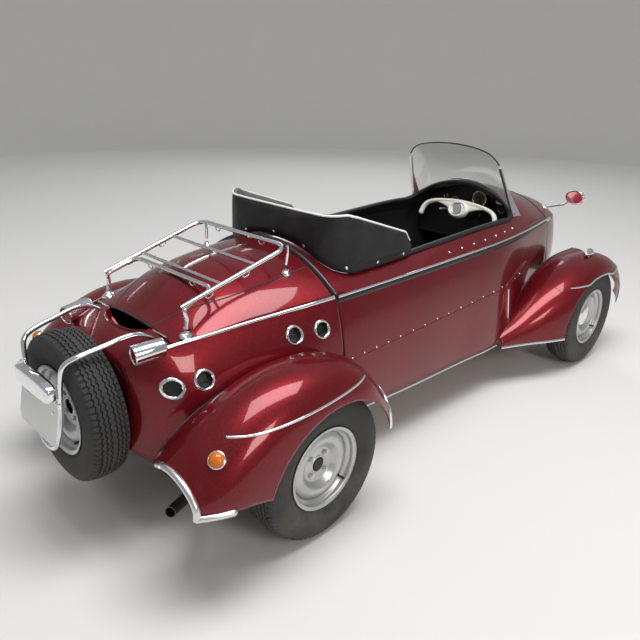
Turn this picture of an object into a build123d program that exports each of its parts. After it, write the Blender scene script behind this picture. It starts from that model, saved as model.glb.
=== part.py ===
from build123d import *
import functools
import math
import os

# Open two-seat microcar with four wheels, the seats one behind the other.
# Millimetres. X points forward, Y to the left, Z up, ground at Z = 0.
# The origin lies on the ground under the middle of the whole car.

os.makedirs("parts", exist_ok=True)

# Chassis
WHEELBASE = 1890.0
REAR_AXLE_X = -860.0
FRONT_AXLE_X = REAR_AXLE_X + WHEELBASE
TRACK_FRONT = 1050.0
TRACK_REAR = 1020.0

# Wheels and tyres
TYRE_RADIUS = 247.0
TYRE_WIDTH = 140.0
BEAD_RADIUS = 131.0
RIM_LIP_RADIUS = 141.0
RIM_WIDTH = 114.0
RIM_WALL = 4.0
RIM_WELL_DEPTH = 13.0
HUB_HOLE_RADIUS = 24.0
DISC_OFFSET = 14.0
SPARE_TYRE_RADIUS = 236.0
SPARE_TYRE_WIDTH = 128.0

# Fits
FIT = 0.3
PANEL_GAP = 4.0
BODY_WALL = 16.0
FENDER_WALL = 5.0

# Body stations along the car
TAIL_X = REAR_AXLE_X - 434.0
LID_REAR_X = REAR_AXLE_X - 312.0
SEAM_REAR_X = REAR_AXLE_X + 255.0
SEAM_FRONT_X = FRONT_AXLE_X + 15.0
NOSE_X = FRONT_AXLE_X + 472.0
FLOOR_Z = 200.0

# One row for each body section:
# x, belt half-width, belt height, side half-width, floor half-width, floor height, crest height
BODY_ROWS = [
    (TAIL_X, 170, 600, 192, 160, 302, 624),
    (TAIL_X + 58, 216, 638, 262, 226, 262, 660),
    (LID_REAR_X, 236, 654, 312, 280, 240, 680),
    (REAR_AXLE_X - 205, 262, 664, 338, 312, 226, 742),
    (REAR_AXLE_X - 90, 285, 674, 356, 338, 215, 792),
    (REAR_AXLE_X + 80, 318, 685, 376, 350, 206, 817),
    (SEAM_REAR_X, 348, 696, 392, 352, FLOOR_Z, 824),
    (REAR_AXLE_X + 510, 360, 699, 400, 372, FLOOR_Z, 825),
    (REAR_AXLE_X + 760, 365, 700, 404, 388, FLOOR_Z, 832),
    (FRONT_AXLE_X - 840, 366, 700, 406, 402, FLOOR_Z, 849),
    (FRONT_AXLE_X - 560, 360, 700, 400, 408, FLOOR_Z, 868),
    (FRONT_AXLE_X - 270, 325, 698, 338, 325, FLOOR_Z, 872),
    (SEAM_FRONT_X, 268, 690, 292, 265, 205, 800),
    (FRONT_AXLE_X + 250, 194, 664, 216, 185, 245, 735),
    (FRONT_AXLE_X + 375, 124, 612, 142, 112, 300, 668),
    (NOSE_X, 22, 498, 28, 22, 422, 520),
]
SIDE_Z = 450.0
FLOOR_CORNER = 45.0
CORNER_45 = 1 - math.sqrt(0.5)


def body_section(row, grow):
    """Closed section of the whole body: floor, rounded corners, bowed sides, arched top."""
    x, belt, belt_z, side, floor, floor_z, crest = row
    floor, belt, side = floor + grow, belt + grow, side + grow
    r = min(FLOOR_CORNER, 0.6 * floor)
    floor_z, crest = floor_z - grow, crest + grow
    with BuildSketch(Plane.YZ.offset(x)) as section:
        with BuildLine():
            Line((-floor + r, floor_z), (floor - r, floor_z))
            for s in (1, -1):
                mid = (s * (floor - r * CORNER_45), floor_z + r * CORNER_45)
                ThreePointArc((s * (floor - r), floor_z), mid, (s * floor, floor_z + r))
                ThreePointArc((s * floor, floor_z + r), (s * side, SIDE_Z), (s * belt, belt_z))
            ThreePointArc((belt, belt_z), (0, crest), (-belt, belt_z))
        make_face()
    return section.sketch.face()


@functools.cache
def body_form(grow):
    """The whole body as one closed form, grown by a wall or a gap."""
    with BuildPart() as form:
        rows = BODY_ROWS if grow >= 0 else BODY_ROWS[:-1]
        loft(sections=[body_section(row, grow) for row in rows])
    return form.part


def body_solid(grow, x_low, x_high):
    """The body form between two cross planes."""
    with BuildPart() as skin:
        add(body_form(grow))
        with BuildSketch(Plane.YZ.offset(x_low)):
            Rectangle(1400, 2400)
        extrude(amount=x_high - x_low, mode=Mode.INTERSECT)
    return skin.part



def belt_region(lift, above):
    """Everything above or below the belt line, moved up by a lift."""
    reach = 900 if above else -900
    ends = [(TAIL_X - 50, BODY_ROWS[0][2] + lift), (NOSE_X + 50, BODY_ROWS[-1][2] + lift)]
    belt = [ends[0]] + [(row[0], row[2] + lift) for row in BODY_ROWS] + [ends[1]]
    with BuildPart() as region:
        with BuildSketch(Plane.XZ):
            with BuildLine():
                Polyline(*belt, (ends[1][0], reach), (ends[0][0], reach), close=True)
            make_face()
        extrude(amount=700, both=True)
    return region.part


def tube(points, radius, bends, hollow=0):
    """Round tube along straight runs joined by arcs."""
    with BuildPart() as pipe:
        with BuildLine() as path:
            FilletPolyline(*points, radius=bends)
        start = path.line @ 0
        with BuildSketch(Plane(origin=start, z_dir=path.line % 0)):
            Circle(radius)
            if hollow:
                Circle(radius - hollow, mode=Mode.SUBTRACT)
        sweep(path=path.line)
    return pipe.part


def bar(start, end, radius):
    """Straight round bar between two points."""
    with BuildPart() as rod:
        direction = Vector(*end) - Vector(*start)
        with BuildSketch(Plane(origin=start, z_dir=direction)):
            Circle(radius)
        extrude(amount=direction.length)
    return rod.part


def save(block, name):
    """Name one finished piece and write it."""
    block.part.label = name
    export_step(block.part, f"parts/{name}.step")


skin = body_form(0)
skin_fit = body_form(FIT)
below_belt = belt_region(0, above=False)
above_belt = belt_region(FIT, above=True)
SLAB = 2400.0


def slab(x_low, x_high):
    """Everything between two cross planes, for use as a trimming tool."""
    with BuildPart() as block:
        with BuildSketch(Plane.YZ.offset(x_low)):
            Rectangle(SLAB, SLAB)
        extrude(amount=x_high - x_low)
    return block.part


# Rear body: open-topped shell, closed over the tail behind the engine lid
HOLE_RADIUS = 24.0
HOLE_RING = 7.0
# One row for each flank hole: x from the rear axle, height
FLANK_HOLES = [(-345, 543), (-255, 552), (70, 610), (175, 606)]
HINGE_X = LID_REAR_X + PANEL_GAP
HINGE_Z = BODY_ROWS[2][6] - 10
HINGE_BARREL = 7.0
HINGE_PIN = 3.0
HINGE_SPREAD = 165.0
HINGE_LENGTH = 24.0
# Air outlet: a rounded opening in the deck behind the engine lid's rear lip
OUTLET_REACH = 52.0
OUTLET_HALF = 118.0
OUTLET_FLOOR_Z = 560.0


def hinge_block(y, length, radius):
    """Hinge barrel across the car, centred at a distance from its middle."""
    return bar((HINGE_X, y - length / 2, HINGE_Z), (HINGE_X, y + length / 2, HINGE_Z), radius)


def hinge_rod(radius):
    """Two hinge pins across the car, one for each lid hinge."""
    reach = 1.5 * HINGE_LENGTH
    rods = [bar((HINGE_X, y - reach, HINGE_Z), (HINGE_X, y + reach, HINGE_Z), radius)
            for y in (-HINGE_SPREAD, HINGE_SPREAD)]
    return rods[0] + rods[1]


with BuildPart() as rear_body:
    add(skin)
    add(slab(TAIL_X, SEAM_REAR_X), mode=Mode.INTERSECT)
    add(above_belt & slab(LID_REAR_X, SEAM_REAR_X), mode=Mode.SUBTRACT)
    add(body_solid(-BODY_WALL, TAIL_X + BODY_WALL, SEAM_REAR_X + 1), mode=Mode.SUBTRACT)
    for dx, z in FLANK_HOLES:
        with BuildSketch(Plane.XZ.offset(-600)):
            with Locations((REAR_AXLE_X + dx, z)):
                Circle(HOLE_RADIUS)
        extrude(amount=1200, mode=Mode.SUBTRACT)
    with BuildSketch(Plane.XY.offset(OUTLET_FLOOR_Z)):
        with Locations((LID_REAR_X, 0)):
            Ellipse(OUTLET_REACH, OUTLET_HALF)
    extrude(amount=200, mode=Mode.SUBTRACT)
    for side in (1, -1):
        add(hinge_block(side * HINGE_SPREAD, HINGE_LENGTH, HINGE_BARREL + 1), mode=Mode.SUBTRACT)
        for end in (1, -1):
            add(hinge_block(side * HINGE_SPREAD + end * (HINGE_LENGTH + FIT), HINGE_LENGTH, HINGE_BARREL))
    add(hinge_rod(HINGE_PIN + FIT), mode=Mode.SUBTRACT)
save(rear_body, "rear_body")

with BuildPart() as vent_rings:
    for dx, z in FLANK_HOLES:
        for s in (1, -1):
            with BuildSketch(Plane.XZ.offset(-s * 200)):
                with Locations((REAR_AXLE_X + dx, z)):
                    Circle(HOLE_RADIUS + HOLE_RING)
                    Circle(HOLE_RADIUS, mode=Mode.SUBTRACT)
            extrude(amount=-s * 300)
    add(skin_fit, mode=Mode.SUBTRACT)
    add(body_solid(FIT + 3.5, TAIL_X, SEAM_REAR_X), mode=Mode.INTERSECT)
save(vent_rings, "vent_rings")

# Tub: open cockpit shell between the two seams
HINGE_Y = -(BODY_ROWS[8][1] + 9)
CANOPY_HINGE_Z = BODY_ROWS[8][2] + 2
CANOPY_BARREL = 8.0
CANOPY_PIN = 4.0
CANOPY_HINGES = [REAR_AXLE_X + 620, FRONT_AXLE_X - 700]
CANOPY_HINGE_LENGTH = 56.0
LUG = 9.0


def belt_hinge(x, length, radius):
    """Round hinge part along the right belt, centred at one place along the car."""
    return bar((x - length / 2, HINGE_Y, CANOPY_HINGE_Z), (x + length / 2, HINGE_Y, CANOPY_HINGE_Z), radius)



with BuildPart() as tub_shell:
    add(skin)
    add(slab(SEAM_REAR_X, SEAM_FRONT_X), mode=Mode.INTERSECT)
    add(below_belt, mode=Mode.INTERSECT)
    add(body_solid(-BODY_WALL, SEAM_REAR_X + BODY_WALL, SEAM_FRONT_X - BODY_WALL), mode=Mode.SUBTRACT)
    for x in CANOPY_HINGES:
        for end in (1, -1):
            lug_x = x + end * (CANOPY_HINGE_LENGTH + LUG + 2 * FIT) / 2
            add(belt_hinge(lug_x, LUG, CANOPY_BARREL))
            with BuildSketch(Plane.YZ.offset(lug_x - LUG / 2)):
                with Locations((HINGE_Y + 5, CANOPY_HINGE_Z - 15)):
                    Rectangle(16, 24)
            extrude(amount=LUG)
        add(belt_hinge(x, CANOPY_HINGE_LENGTH, CANOPY_BARREL + 1), mode=Mode.SUBTRACT)
        add(belt_hinge(x, 2 * CANOPY_HINGE_LENGTH, CANOPY_PIN + FIT), mode=Mode.SUBTRACT)
save(tub_shell, "tub_shell")

# Nose: closed cone in front of the cowl seam
with BuildPart() as nose_shell:
    add(skin)
    add(slab(SEAM_FRONT_X, NOSE_X + 10), mode=Mode.INTERSECT)
    add(body_solid(-BODY_WALL, SEAM_FRONT_X - 1, NOSE_X - 3 * BODY_WALL), mode=Mode.SUBTRACT)
save(nose_shell, "nose_shell")

# Canopy frame: cowl, side rails and the deck behind the seats, as one hinged panel
COCKPIT_REAR_X = SEAM_REAR_X + 45
COCKPIT_FRONT_X = FRONT_AXLE_X - 354
COCKPIT_HALF = 298.0
CANOPY_WALL = 14.0
with BuildPart() as cockpit_cut:
    with BuildSketch(Plane.XY.offset(600)):
        with Locations(((COCKPIT_REAR_X + COCKPIT_FRONT_X) / 2, 0)):
            RectangleRounded(COCKPIT_FRONT_X - COCKPIT_REAR_X, 2 * COCKPIT_HALF, 90)
    extrude(amount=400)

with BuildPart() as canopy_frame:
    add(skin)
    add(slab(SEAM_REAR_X + FIT, SEAM_FRONT_X - PANEL_GAP), mode=Mode.INTERSECT)
    add(above_belt, mode=Mode.INTERSECT)
    add(body_solid(-CANOPY_WALL, SEAM_REAR_X - 1, SEAM_FRONT_X + 1), mode=Mode.SUBTRACT)
    add(cockpit_cut.part, mode=Mode.SUBTRACT)
    for x in CANOPY_HINGES:
        for end in (1, -1):
            lug_x = x + end * (CANOPY_HINGE_LENGTH + LUG + 2 * FIT) / 2
            add(belt_hinge(lug_x, LUG + 1, CANOPY_BARREL + 1), mode=Mode.SUBTRACT)
        add(belt_hinge(x, CANOPY_HINGE_LENGTH - 1, CANOPY_BARREL))
        with BuildSketch(Plane.YZ.offset(x - CANOPY_HINGE_LENGTH / 2 + 0.5)):
            with Locations((HINGE_Y + 8, CANOPY_HINGE_Z + 5)):
                Rectangle(16, 6)
        extrude(amount=CANOPY_HINGE_LENGTH - 1)
        add(belt_hinge(x, 2 * CANOPY_HINGE_LENGTH, CANOPY_PIN + FIT), mode=Mode.SUBTRACT)
save(canopy_frame, "canopy_frame")
with BuildPart() as hinge_pins:
    add(hinge_rod(HINGE_PIN))
    for x in CANOPY_HINGES:
        add(belt_hinge(x, CANOPY_HINGE_LENGTH + 2 * LUG, CANOPY_PIN))
save(hinge_pins, "hinge_pins")

# Engine lid, hinged across its rear edge
LID_WALL = 10.0
LID_SHUT_GAP = 1.2
with BuildPart() as engine_lid:
    add(skin)
    add(slab(LID_REAR_X + PANEL_GAP, SEAM_REAR_X - PANEL_GAP), mode=Mode.INTERSECT)
    add(belt_region(LID_SHUT_GAP, above=True), mode=Mode.INTERSECT)
    add(body_solid(-LID_WALL, LID_REAR_X - 50, SEAM_REAR_X + 1), mode=Mode.SUBTRACT)
    for side in (1, -1):
        for end in (1, -1):
            notch = side * HINGE_SPREAD + end * (HINGE_LENGTH + FIT)
            add(hinge_block(notch, HINGE_LENGTH + 1, HINGE_BARREL + 1), mode=Mode.SUBTRACT)
        add(hinge_block(side * HINGE_SPREAD, HINGE_LENGTH - 2 * FIT, HINGE_BARREL))
    add(hinge_rod(HINGE_PIN + FIT), mode=Mode.SUBTRACT)
save(engine_lid, "engine_lid")


# Fenders
# One row for each section: x from the axle, joint z, crest y, crest z, outer y, shoulder z, bottom z
REAR_FENDER_ROWS = (
    (-475, 375, 440, 412, 560, 350, 318),
    (-400, 440, 470, 480, 600, 385, 318),
    (-270, 495, 500, 556, 620, 445, 300),
    (-110, 525, 515, 600, 628, 500, 250),
    (60, 500, 520, 590, 628, 500, 250),
    (180, 430, 520, 535, 622, 455, 250),
    (262, 350, 520, 440, 605, 380, 250),
)
FRONT_FENDER_ROWS = (
    (-590, 236, 384, 256, 430, 226, 206),
    (-460, 292, 420, 318, 490, 270, 206),
    (-330, 365, 455, 412, 560, 335, 206),
    (-190, 440, 490, 492, 612, 402, 206),
    (-70, 470, 506, 530, 630, 444, 206),
    (50, 462, 515, 543, 634, 458, 206),
    (180, 430, 510, 524, 626, 436, 206),
    (290, 370, 490, 462, 598, 384, 270),
    (355, 325, 470, 388, 552, 346, 290),
)
FENDER_ROOT_Y = 250.0
FENDER_JOINT_Y = 340.0

# Headlamp lobes on the inner side of the front fenders
LOBE_Y = 362.0
# One row for each round section: x from the axle, height, radius
LOBE_ROWS = ((-430, 300, 14), (-260, 374, 50), (-90, 424, 74), (80, 434, 81), (232, 430, 82))
LAMP_X = FRONT_AXLE_X + LOBE_ROWS[-1][0]
LAMP_Z = LOBE_ROWS[-1][1]
LAMP_RIM = 6.0
LAMP_RADIUS = LOBE_ROWS[-1][2] - LAMP_RIM


def fender_section(axle_x, row, side, inset):
    """Fender section: rooted in the body, arched over the wheel, with an upright outer skirt."""
    dx, joint_z, crest_y, crest_z, outer, shoulder_z, bottom_z = row
    outer, crest_z, joint_z = outer - inset, crest_z - inset, joint_z - inset
    low = bottom_z - 120 * (inset > 0)
    root, joint = side * FENDER_ROOT_Y, side * FENDER_JOINT_Y
    with BuildSketch(Plane.YZ.offset(axle_x + dx)) as section:
        with BuildLine():
            Polyline((joint, joint_z), (root, joint_z), (root, low), (side * outer, low),
                     (side * outer, shoulder_z))
            ThreePointArc((side * outer, shoulder_z), (side * crest_y, crest_z), (joint, joint_z))
        make_face()
    return section.sketch.face()


def lobe_section(row, side, inset):
    """Round section of a headlamp lobe."""
    dx, z, radius = row
    with BuildSketch(Plane.YZ.offset(FRONT_AXLE_X + dx)) as section:
        with Locations((side * LOBE_Y, z)):
            Circle(radius - inset)
    return section.sketch.face()


@functools.cache
def fender_form(axle_x, rows, side, inset, lobes):
    """Closed outer or inner form of a fender, with its headlamp lobe if it has one."""
    with BuildPart() as form:
        loft(sections=[fender_section(axle_x, row, side, inset) for row in rows])
        ends = slab(axle_x + rows[0][0] + inset, axle_x + rows[-1][0] - inset)
        add(ends, mode=Mode.INTERSECT)
        if lobes:
            loft(sections=[lobe_section(row, side, inset) for row in lobes])
    return form.part


def fender_shell(axle_x, rows, side, arch_half, arch_rise, lobes=()):
    """Hollow fender with its wheel opening, cut to fit against the body."""
    with BuildPart() as fender:
        add(fender_form(axle_x, rows, side, 0, lobes))
        add(fender_form(axle_x, rows, side, FENDER_WALL, lobes), mode=Mode.SUBTRACT)
        with BuildSketch(Plane.XZ):
            with Locations((axle_x, TYRE_RADIUS)):
                Ellipse(arch_half, arch_rise)
        extrude(amount=-side * 700, mode=Mode.SUBTRACT)
        if lobes:
            recess = LAMP_RADIUS + LAMP_RIM + FIT
            add(bar((LAMP_X, side * LOBE_Y, LAMP_Z), (LAMP_X + 200, side * LOBE_Y, LAMP_Z), recess),
                mode=Mode.SUBTRACT)
        add(skin_fit, mode=Mode.SUBTRACT)
    return fender.part


for name, side in (("left", 1), ("right", -1)):
    with BuildPart() as rear_fender:
        add(fender_shell(REAR_AXLE_X, REAR_FENDER_ROWS, side, TYRE_RADIUS + 22, TYRE_RADIUS - 4))
    save(rear_fender, "rear_fender_" + name)
    with BuildPart() as front_fender:
        add(fender_shell(FRONT_AXLE_X, FRONT_FENDER_ROWS, side, TYRE_RADIUS + 26, TYRE_RADIUS - 20, LOBE_ROWS))
    save(front_fender, "front_fender_" + name)


# Wheels: each has its own frame, the first axis pointing out of the dish
def wheel_frame(centre, outward):
    """Plane through a wheel's axle: first axis outward, second axis up."""
    return Plane(origin=centre, x_dir=outward, z_dir=Vector(*outward).cross(Vector(0, 0, 1)))


def tyre_ring(frame, radius, width):
    """Tyre as one closed ring: flat bead, bowed sidewalls, crowned tread."""
    bead = RIM_WIDTH / 2 - 2 * RIM_WALL + 1
    half = width / 2
    shoulder = (half - 13, radius - 9)
    with BuildPart() as ring:
        with BuildSketch(frame):
            with BuildLine():
                Line((-bead, BEAD_RADIUS), (bead, BEAD_RADIUS))
                for s in (1, -1):
                    Line((s * bead, BEAD_RADIUS), (s * bead, RIM_LIP_RADIUS + 1))
                    middle = (s * half, (RIM_LIP_RADIUS + radius) / 2)
                    top = (s * shoulder[0], shoulder[1])
                    ThreePointArc((s * bead, RIM_LIP_RADIUS + 1), middle, top)
                ThreePointArc((-shoulder[0], shoulder[1]), (0, radius), shoulder)
            make_face()
        revolve(axis=Axis(frame.origin, frame.x_dir))
    return ring.part


def rim_disc(frame):
    """Pressed steel rim: two lips, a drop-centre well and a dished disc with an open centre."""
    lip = RIM_WIDTH / 2
    seat = BEAD_RADIUS - FIT
    well = seat - RIM_WELL_DEPTH
    w = RIM_WALL
    outer = [(lip, RIM_LIP_RADIUS), (lip - w, RIM_LIP_RADIUS), (lip - w, seat), (lip - 20, seat),
             (lip - 28, well), (28 - lip, well), (20 - lip, seat), (w - lip, seat),
             (w - lip, RIM_LIP_RADIUS), (-lip, RIM_LIP_RADIUS)]
    inner = [(-lip, seat - w), (18 - lip, seat - w), (26 - lip, well - w), (lip - 26, well - w),
             (lip - 18, seat - w), (lip, seat - w)]
    face = DISC_OFFSET
    disc = [(face + 6, well - 1), (face + 22, 92), (face + 16, 74), (face, 62), (face, HUB_HOLE_RADIUS)]
    with BuildPart() as rim:
        with BuildSketch(frame):
            with BuildLine():
                Polyline(*outer, *inner, close=True)
            make_face()
            with BuildLine():
                Polyline(*disc, *[(o - w, r) for o, r in reversed(disc)], close=True)
            make_face()
        revolve(axis=Axis(frame.origin, frame.x_dir))
    return rim.part


def drum(frame, radius, start, end):
    """Round drum along an axle between two distances from the wheel's middle."""
    with BuildPart() as cylinder:
        with BuildSketch(Plane(origin=frame.origin + frame.x_dir * start, z_dir=frame.x_dir)):
            Circle(radius)
        extrude(amount=end - start)
    return cylinder.part


DRUM_RADIUS = 86.0
DRUM_DEPTH = 62.0
HUB_BOSS = 20.0
DRUM_FACE = DISC_OFFSET - RIM_WALL - FIT
CAP_RADIUS = 66.0
CAP_HEIGHT = 24.0
# One row for each wheel: name, axle x, half track, side
WHEELS = [
    ("front_left", FRONT_AXLE_X, TRACK_FRONT / 2, 1),
    ("front_right", FRONT_AXLE_X, TRACK_FRONT / 2, -1),
    ("rear_left", REAR_AXLE_X, TRACK_REAR / 2, 1),
    ("rear_right", REAR_AXLE_X, TRACK_REAR / 2, -1),
]
frames = {}
for name, axle_x, half_track, side in WHEELS:
    frame = wheel_frame((axle_x, side * half_track, TYRE_RADIUS), (0, side, 0))
    frames[name] = frame
    with BuildPart() as tyre:
        add(tyre_ring(frame, TYRE_RADIUS, TYRE_WIDTH))
    save(tyre, "tyre_" + name)
    with BuildPart() as rim:
        add(rim_disc(frame))
    save(rim, "rim_" + name)

SPARE_X = TAIL_X - 82
SPARE_Z = 446.0
spare_frame = wheel_frame((SPARE_X, 0, SPARE_Z), (-1, 0, 0))
with BuildPart() as spare_tyre:
    add(tyre_ring(spare_frame, SPARE_TYRE_RADIUS, SPARE_TYRE_WIDTH))
save(spare_tyre, "spare_tyre")
with BuildPart() as spare_rim:
    add(rim_disc(spare_frame))
save(spare_rim, "spare_rim")
with BuildPart() as spare_bracket:
    add(drum(spare_frame, 60, SPARE_X - TAIL_X, DRUM_FACE))
    add(skin_fit, mode=Mode.SUBTRACT)
save(spare_bracket, "spare_bracket")

# Front hub caps turn with their wheels
for name in ("front_left", "front_right"):
    frame = frames[name]
    with BuildPart() as cap:
        with BuildSketch(frame):
            with BuildLine():
                Polyline((DISC_OFFSET + FIT, CAP_RADIUS - 8), (DISC_OFFSET + FIT, 0), (DISC_OFFSET + CAP_HEIGHT, 0))
                TangentArc((DISC_OFFSET + CAP_HEIGHT, 0), (DISC_OFFSET + FIT, CAP_RADIUS - 8), tangent=(0, 1))
            make_face()
        revolve(axis=Axis(frame.origin, frame.x_dir))
    save(cap, "hub_cap_" + name)

# Front knuckles: post, stub and brake drum on a vertical kingpin
KINGPIN_Y = 430.0
POST_HALF = 58.0
POST_RADIUS = 13.0
ARM_RADIUS = 11.0
ARM_SPREAD = 85.0
for name, side in (("left", 1), ("right", -1)):
    frame = frames["front_" + name]
    inboard = KINGPIN_Y - TRACK_FRONT / 2
    with BuildPart() as knuckle:
        with BuildSketch(Plane.XY.offset(TYRE_RADIUS - POST_HALF)):
            with Locations((FRONT_AXLE_X, side * KINGPIN_Y)):
                Circle(POST_RADIUS)
        extrude(amount=2 * POST_HALF)
        add(drum(frame, HUB_BOSS, inboard, -DRUM_DEPTH + 1))
        add(drum(frame, DRUM_RADIUS, -DRUM_DEPTH, DRUM_FACE))
    save(knuckle, "knuckle_" + name)

with BuildPart() as front_suspension:
    for side in (1, -1):
        for up in (1, -1):
            z = TYRE_RADIUS + up * (POST_HALF + ARM_RADIUS + FIT)
            with BuildSketch(Plane.XY.offset(z - ARM_RADIUS)):
                with Locations((FRONT_AXLE_X, side * KINGPIN_Y)):
                    Circle(POST_RADIUS + 7)
            extrude(amount=2 * ARM_RADIUS)
            for fore in (1, -1):
                inner = (FRONT_AXLE_X + fore * ARM_SPREAD, side * 230, z)
                add(bar(inner, (FRONT_AXLE_X, side * KINGPIN_Y, z), ARM_RADIUS))
    add(skin_fit, mode=Mode.SUBTRACT)
save(front_suspension, "front_suspension")

with BuildPart() as rear_suspension:
    for side in (1, -1):
        frame = frames["rear_left" if side > 0 else "rear_right"]
        add(drum(frame, DRUM_RADIUS, -DRUM_DEPTH, DRUM_FACE))
        add(drum(frame, HUB_BOSS, -DRUM_DEPTH, DISC_OFFSET + 8))
        add(drum(frame, 26, 300 - TRACK_REAR / 2, -DRUM_DEPTH + 1))
        hub = (REAR_AXLE_X, side * (TRACK_REAR / 2 - DRUM_DEPTH - 12), TYRE_RADIUS)
        add(bar((REAR_AXLE_X + 230, side * 330, TYRE_RADIUS - 8), hub, 16))
    add(skin_fit, mode=Mode.SUBTRACT)
save(rear_suspension, "rear_suspension")

# Engine behind the seats, as one plain block on the rear floor
ENGINE_HALF = 185.0
with BuildPart() as engine_block:
    with BuildSketch(Plane.XY.offset(FLOOR_Z)):
        with Locations((REAR_AXLE_X - 90, 0)):
            Rectangle(320, 2 * ENGINE_HALF)
    extrude(amount=355)
    add(body_solid(-BODY_WALL - FIT, TAIL_X, SEAM_REAR_X), mode=Mode.INTERSECT)
save(engine_block, "engine_block")

# Flat jacking pads under the floor
JACK_RADIUS = 32.0
JACK_Z = FLOOR_Z - 14
JACK_X = [REAR_AXLE_X + 420, FRONT_AXLE_X - 470]
JACK_Y = 300.0
with BuildPart() as jack_pads:
    with BuildSketch(Plane.XY.offset(JACK_Z)):
        with Locations(*[(x, side * JACK_Y) for x in JACK_X for side in (1, -1)]):
            Circle(JACK_RADIUS)
    extrude(amount=40)
    add(skin_fit, mode=Mode.SUBTRACT)
save(jack_pads, "jack_pads")

# Exhaust: silencer under the tail and a pipe to the right rear corner
with BuildPart() as exhaust_pipe:
    with BuildSketch(Plane.XZ.offset(-150)):
        with Locations((REAR_AXLE_X - 270, 190)):
            Circle(52)
    extrude(amount=300)
    route = [(REAR_AXLE_X - 290, -100, 180), (REAR_AXLE_X - 290, -250, 180), (REAR_AXLE_X - 350, -330, 205),
             (REAR_AXLE_X - 450, -385, 228)]
    add(tube(route, 17, 30, hollow=2.5))
    add(skin_fit, mode=Mode.SUBTRACT)
save(exhaust_pipe, "exhaust_pipe")

# Tail lamps: round chrome housings at the belt's rear ends, red lenses facing back
TAIL_LAMP_RADIUS = 30.0
TAIL_LAMP_LENGTH = 95.0
TAIL_LAMP = Vector(TAIL_X + 14, 208, 648)
TAIL_LAMP_LINE = Vector(95, 17, 7).normalized()


def lamp_pair(start, end, radius):
    """Two mirrored round bodies along the tail lamps' axes."""
    with BuildPart() as pair:
        for side in (1, -1):
            ends = [TAIL_LAMP + TAIL_LAMP_LINE * d for d in (start, end)]
            add(bar(*[(v.X, side * v.Y, v.Z) for v in ends], radius))
        add(skin_fit, mode=Mode.SUBTRACT)
    return pair.part


with BuildPart() as tail_lamps:
    add(lamp_pair(0, TAIL_LAMP_LENGTH, TAIL_LAMP_RADIUS))
save(tail_lamps, "tail_lamps")
with BuildPart() as tail_lenses:
    add(lamp_pair(-6, -FIT, TAIL_LAMP_RADIUS - 4))
save(tail_lenses, "tail_lenses")

# Guard tube: over the spare wheel from deck feet, down behind it to a bottom bend
GUARD_RADIUS = 8.0
SPARE_BACK = SPARE_X - SPARE_TYRE_WIDTH / 2
with BuildPart() as guard_tube:
    path = [(TAIL_X + 106, 158, 652), (TAIL_X + 40, 157, 688), (SPARE_BACK - 12, 128, 652),
            (SPARE_BACK - 22, 95, 480), (SPARE_BACK - 30, 40, 345)]
    path = path + [(x, -y, z) for x, y, z in reversed(path)]
    add(tube(path, GUARD_RADIUS, 26))
    add(skin_fit, mode=Mode.SUBTRACT)
save(guard_tube, "guard_tube")

# Number plate, leaning out at the bottom, with its lamp above
PLATE_WIDTH = 250.0
PLATE_HEIGHT = 130.0
PLATE_TILT = 12.0
with BuildPart() as number_plate:
    with BuildSketch(Plane(origin=(SPARE_BACK - 41.1, 0, 462), x_dir=(0, -1, 0),
                           z_dir=(-1, 0, math.tan(math.radians(PLATE_TILT))))):
        RectangleRounded(PLATE_WIDTH, PLATE_HEIGHT, 10)
    extrude(amount=3)
save(number_plate, "number_plate")
with BuildPart() as plate_lamp:
    with BuildSketch(Plane(origin=(SPARE_BACK - 25.9, 0, 558), x_dir=(0, 1, 0), z_dir=(-1, 0, 0.058))):
        RectangleRounded(228, 60, 24)
    extrude(amount=34)
save(plate_lamp, "plate_lamp")


# Headlamps at the front of the inner lobes
with BuildPart() as headlamps:
    for side in (1, -1):
        add(bar((LAMP_X + FIT, side * LOBE_Y, LAMP_Z), (LAMP_X + 16, side * LOBE_Y, LAMP_Z),
                LAMP_RADIUS + LAMP_RIM))
        with BuildSketch(Plane(origin=(LAMP_X + 16, side * LOBE_Y, LAMP_Z), x_dir=(1, 0, 0), z_dir=(0, -1, 0))):
            with BuildLine():
                Polyline((0, LAMP_RADIUS), (0, 0), (22, 0))
                ThreePointArc((22, 0), (13, LAMP_RADIUS * 0.66), (0, LAMP_RADIUS))
            make_face()
        revolve(axis=Axis((LAMP_X, side * LOBE_Y, LAMP_Z), (1, 0, 0)))
save(headlamps, "headlamps")

# Round indicators on the rear slopes of the rear fenders, bullet lamps on the front fenders' crests
INDICATOR_RADIUS = 23.0
SIDE_LAMP_RADIUS = 20.0
with BuildPart() as rear_indicators:
    for side in (1, -1):
        add(bar((REAR_AXLE_X - 345, side * 510, 430), (REAR_AXLE_X - 398, side * 518, 478), INDICATOR_RADIUS))
        add(fender_form(REAR_AXLE_X, REAR_FENDER_ROWS, side, -FIT, ()), mode=Mode.SUBTRACT)
save(rear_indicators, "rear_indicators")
with BuildPart() as side_lamps:
    for side in (1, -1):
        with BuildSketch(Plane(origin=(FRONT_AXLE_X + 20, side * 510, 560), x_dir=(1, 0, 0), z_dir=(0, -1, 0))):
            with BuildLine():
                ThreePointArc((-38, 0), (-18, 16), (14, SIDE_LAMP_RADIUS))
                ThreePointArc((14, SIDE_LAMP_RADIUS), (27, 14), (34, 0))
                Line((34, 0), (-38, 0))
            make_face()
        revolve(axis=Axis((FRONT_AXLE_X, side * 510, 560), (1, 0, 0)))
        add(bar((FRONT_AXLE_X + 20, side * 510, 500), (FRONT_AXLE_X + 20, side * 510, 552), 9))
        add(fender_form(FRONT_AXLE_X, FRONT_FENDER_ROWS, side, -FIT, ()), mode=Mode.SUBTRACT)
save(side_lamps, "side_lamps")

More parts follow.
